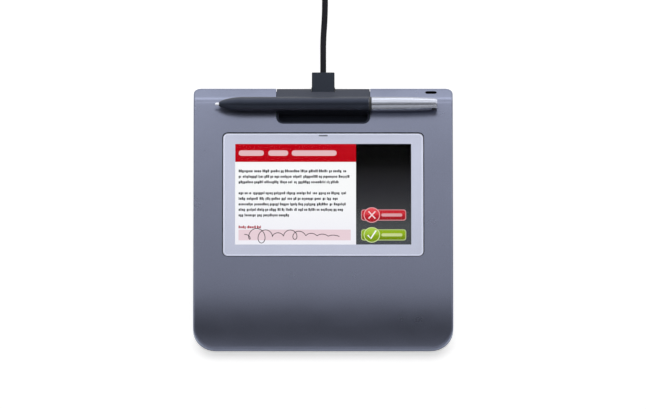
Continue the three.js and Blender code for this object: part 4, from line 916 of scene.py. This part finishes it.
    def text_blocks(self, random, end, middle):
        """Line of words as small blocks, their widths and heights from a seeded row of numbers."""
        shapes, left = [], TEXT_LEFT
        while left < end - SHORTEST_WORD:
            word_end = min(left + random.choice(WORD_WIDTHS), end)
            while left < word_end - SHORTEST_BLOCK:
                right = min(left + random.choice(BLOCK_WIDTHS), word_end)
                tall = random.choice(BLOCK_RISES)
                outline = rounded_outline(right - left, BLOCK_HEIGHT + abs(tall) * 1.6, 0.12, 1)
                shapes.append(screen_plate(outline, ((left + right) / 2, middle + tall * 0.8), self.level(2)))
                left = right + BLOCK_GAP
            left = word_end + WORD_GAP
        return shapes

    def squiggle(self):
        """Flowing line of loops: a forward drift plus a circle whose size swells twice along the way."""
        place = np.linspace(0, 1, 300)
        swell = 0.35 + 1.6 * np.exp(-((place - 0.16) / 0.09) ** 2) + 1.1 * np.exp(-((place - 0.52) / 0.07) ** 2)
        loops, drift = 8.5, 54
        turn = 2 * math.pi * loops * place
        x = drift * place + 1.9 * swell * np.sin(turn)
        y = 2.3 * swell * np.cos(turn) * (1 - 0.75 * place**3) + 1.2 * np.sin(3.1 * place)
        line = np.column_stack([x, y])
        return SQUIGGLE_CORNER + SQUIGGLE_SIZE * (line - line.min(axis=0)) / np.ptp(line, axis=0)

    def button(self, sign, base, middle, rim, word, lit, width, strokes):
        """Rounded button with a light rim, a round badge with a sign on it, and a bar for its word."""
        self.show(f"button_{sign}_rim", [screen_bar(*BUTTON_RIM, middle, self.level(1))], rim)
        face = [(place, shaded(base, shade)) for place, shade in FACE_SHADES]
        ends = scene_y(middle - FACE_REACH), scene_y(middle + FACE_REACH)
        self.show(f"button_{sign}_face", [screen_bar(*BUTTON_FACE, middle, self.level(2))], None, (*ends, face))
        self.show(f"button_{sign}_ring", [self.disc(BADGE_RING, middle, 3)], shaded(rim, 1.3, 0.05))
        badge = [(place, shaded(base, shade, lift)) for place, shade, lift in BADGE_SHADES]
        ends = scene_y(middle - BADGE_SIZE / 2), scene_y(middle + BADGE_SIZE / 2)
        self.show(f"button_{sign}_badge", [self.disc(BADGE_SIZE, middle, 4)], None, (*ends, badge))
        marks = [
            screen_ribbon(np.array(stroke) + (0, middle), width, self.level(5 + index))
            for index, stroke in enumerate(strokes)
        ]
        self.show(f"button_{sign}_sign", marks, lit)
        self.show(f"button_{sign}_word", [screen_bar(*BUTTON_WORD, middle, self.level(3))], word)

    def disc(self, size, middle, layer):
        """Round plate of a badge."""
        return screen_plate(rounded_outline(size, size, size / 2, 10), (BADGE_MIDDLE, middle), self.level(layer))


class SIGNATURE_PAD_OT_pen(bpy.types.Operator):
    """Finishes the pen's pieces and fills the slot for a tether with painted shade"""

    bl_idname = "signature_pad.pen"
    bl_label = "Pen"

    def execute(self, context):
        pen = settings().pen
        grip = moulded("pen_grip", pen.grip, 0.44, bump_size=0.0003, shine=0.6, shine_tint=COOL)
        dress(grip, "pen_grip_barrel")
        silver = moulded(
            "pen_silver", pen.silver, 0.26, 0.85, fleck=0.0002, fleck_share=0.05, bump_size=0.0003,
            bump_depth=0.000002,
        )
        dress(silver, "pen_rear_barrel")
        dress(moulded("pen_ring", (0.012, 0.013, 0.016), 0.5), "pen_joint_ring")
        self.shade_tether_slot()
        dress(moulded("pen_nib", pen.nib, 0.4, fleck_share=0.02, bump_depth=0.000002), "pen_nib")
        dress(moulded("ferrite", (0.03, 0.028, 0.028), 0.7), "pen_ferrite_sleeve")
        dress(moulded("sensor_plastic", (0.55, 0.56, 0.58), 0.4), "pen_pressure_sensor")
        return {"FINISHED"}

    def shade_tether_slot(self):
        """Dark bar filling the rear barrel's slot, painted shade of its inside: a rounded section drawn out along Y.
        """
        place, width, height, half_depth = 0.0688, 0.00254, 0.00274, 0.0026
        middle = np.array([place, *node_box("pen_rear_barrel")[2][1:]])
        flat = rounded_outline(width, height, 0.0004, 3)
        loops = lifted((flat, -half_depth), (flat, half_depth))[..., [0, 2, 1]]
        dark = moulded("tether_slot_shade", (0.002, 0.002, 0.0025), 0.6, shine=0.15)
        new_piece("pen_tether_slot_shade", skin(loops + middle), dark, "pen")


class SIGNATURE_PAD_PT_pad(bpy.types.Panel):
    """Lists the pad's operators"""

    bl_idname = "SIGNATURE_PAD_PT_pad"
    bl_label = "Signature Pad"
    bl_space_type = "VIEW_3D"
    bl_region_type = "UI"
    bl_category = "Signature Pad"

    def draw(self, context):
        for operator in OPERATORS:
            self.layout.operator(operator.bl_idname)


SETTINGS = (StageSettings, CaseSettings, DisplaySettings, PenSettings, CableSettings, SignaturePadSettings)
OPERATORS = (
    SIGNATURE_PAD_OT_stage, SIGNATURE_PAD_OT_cable, SIGNATURE_PAD_OT_case, SIGNATURE_PAD_OT_display,
    SIGNATURE_PAD_OT_pen,
)


def register():
    for group in (*SETTINGS, *OPERATORS, SIGNATURE_PAD_PT_pad):
        bpy.utils.register_class(group)
    bpy.types.Scene.signature_pad = PointerProperty(type=SignaturePadSettings)


def unregister():
    del bpy.types.Scene.signature_pad
    for group in reversed((*SETTINGS, *OPERATORS, SIGNATURE_PAD_PT_pad)):
        bpy.utils.unregister_class(group)


def main():
    """Makes every piece in order."""
    register()
    bpy.context.scene.view_settings.view_transform = "Standard"
    bpy.ops.signature_pad.stage()
    bpy.ops.signature_pad.cable()
    bpy.ops.signature_pad.case()
    bpy.ops.signature_pad.display()
    bpy.ops.signature_pad.pen()


if __name__ == "__main__":
    main()
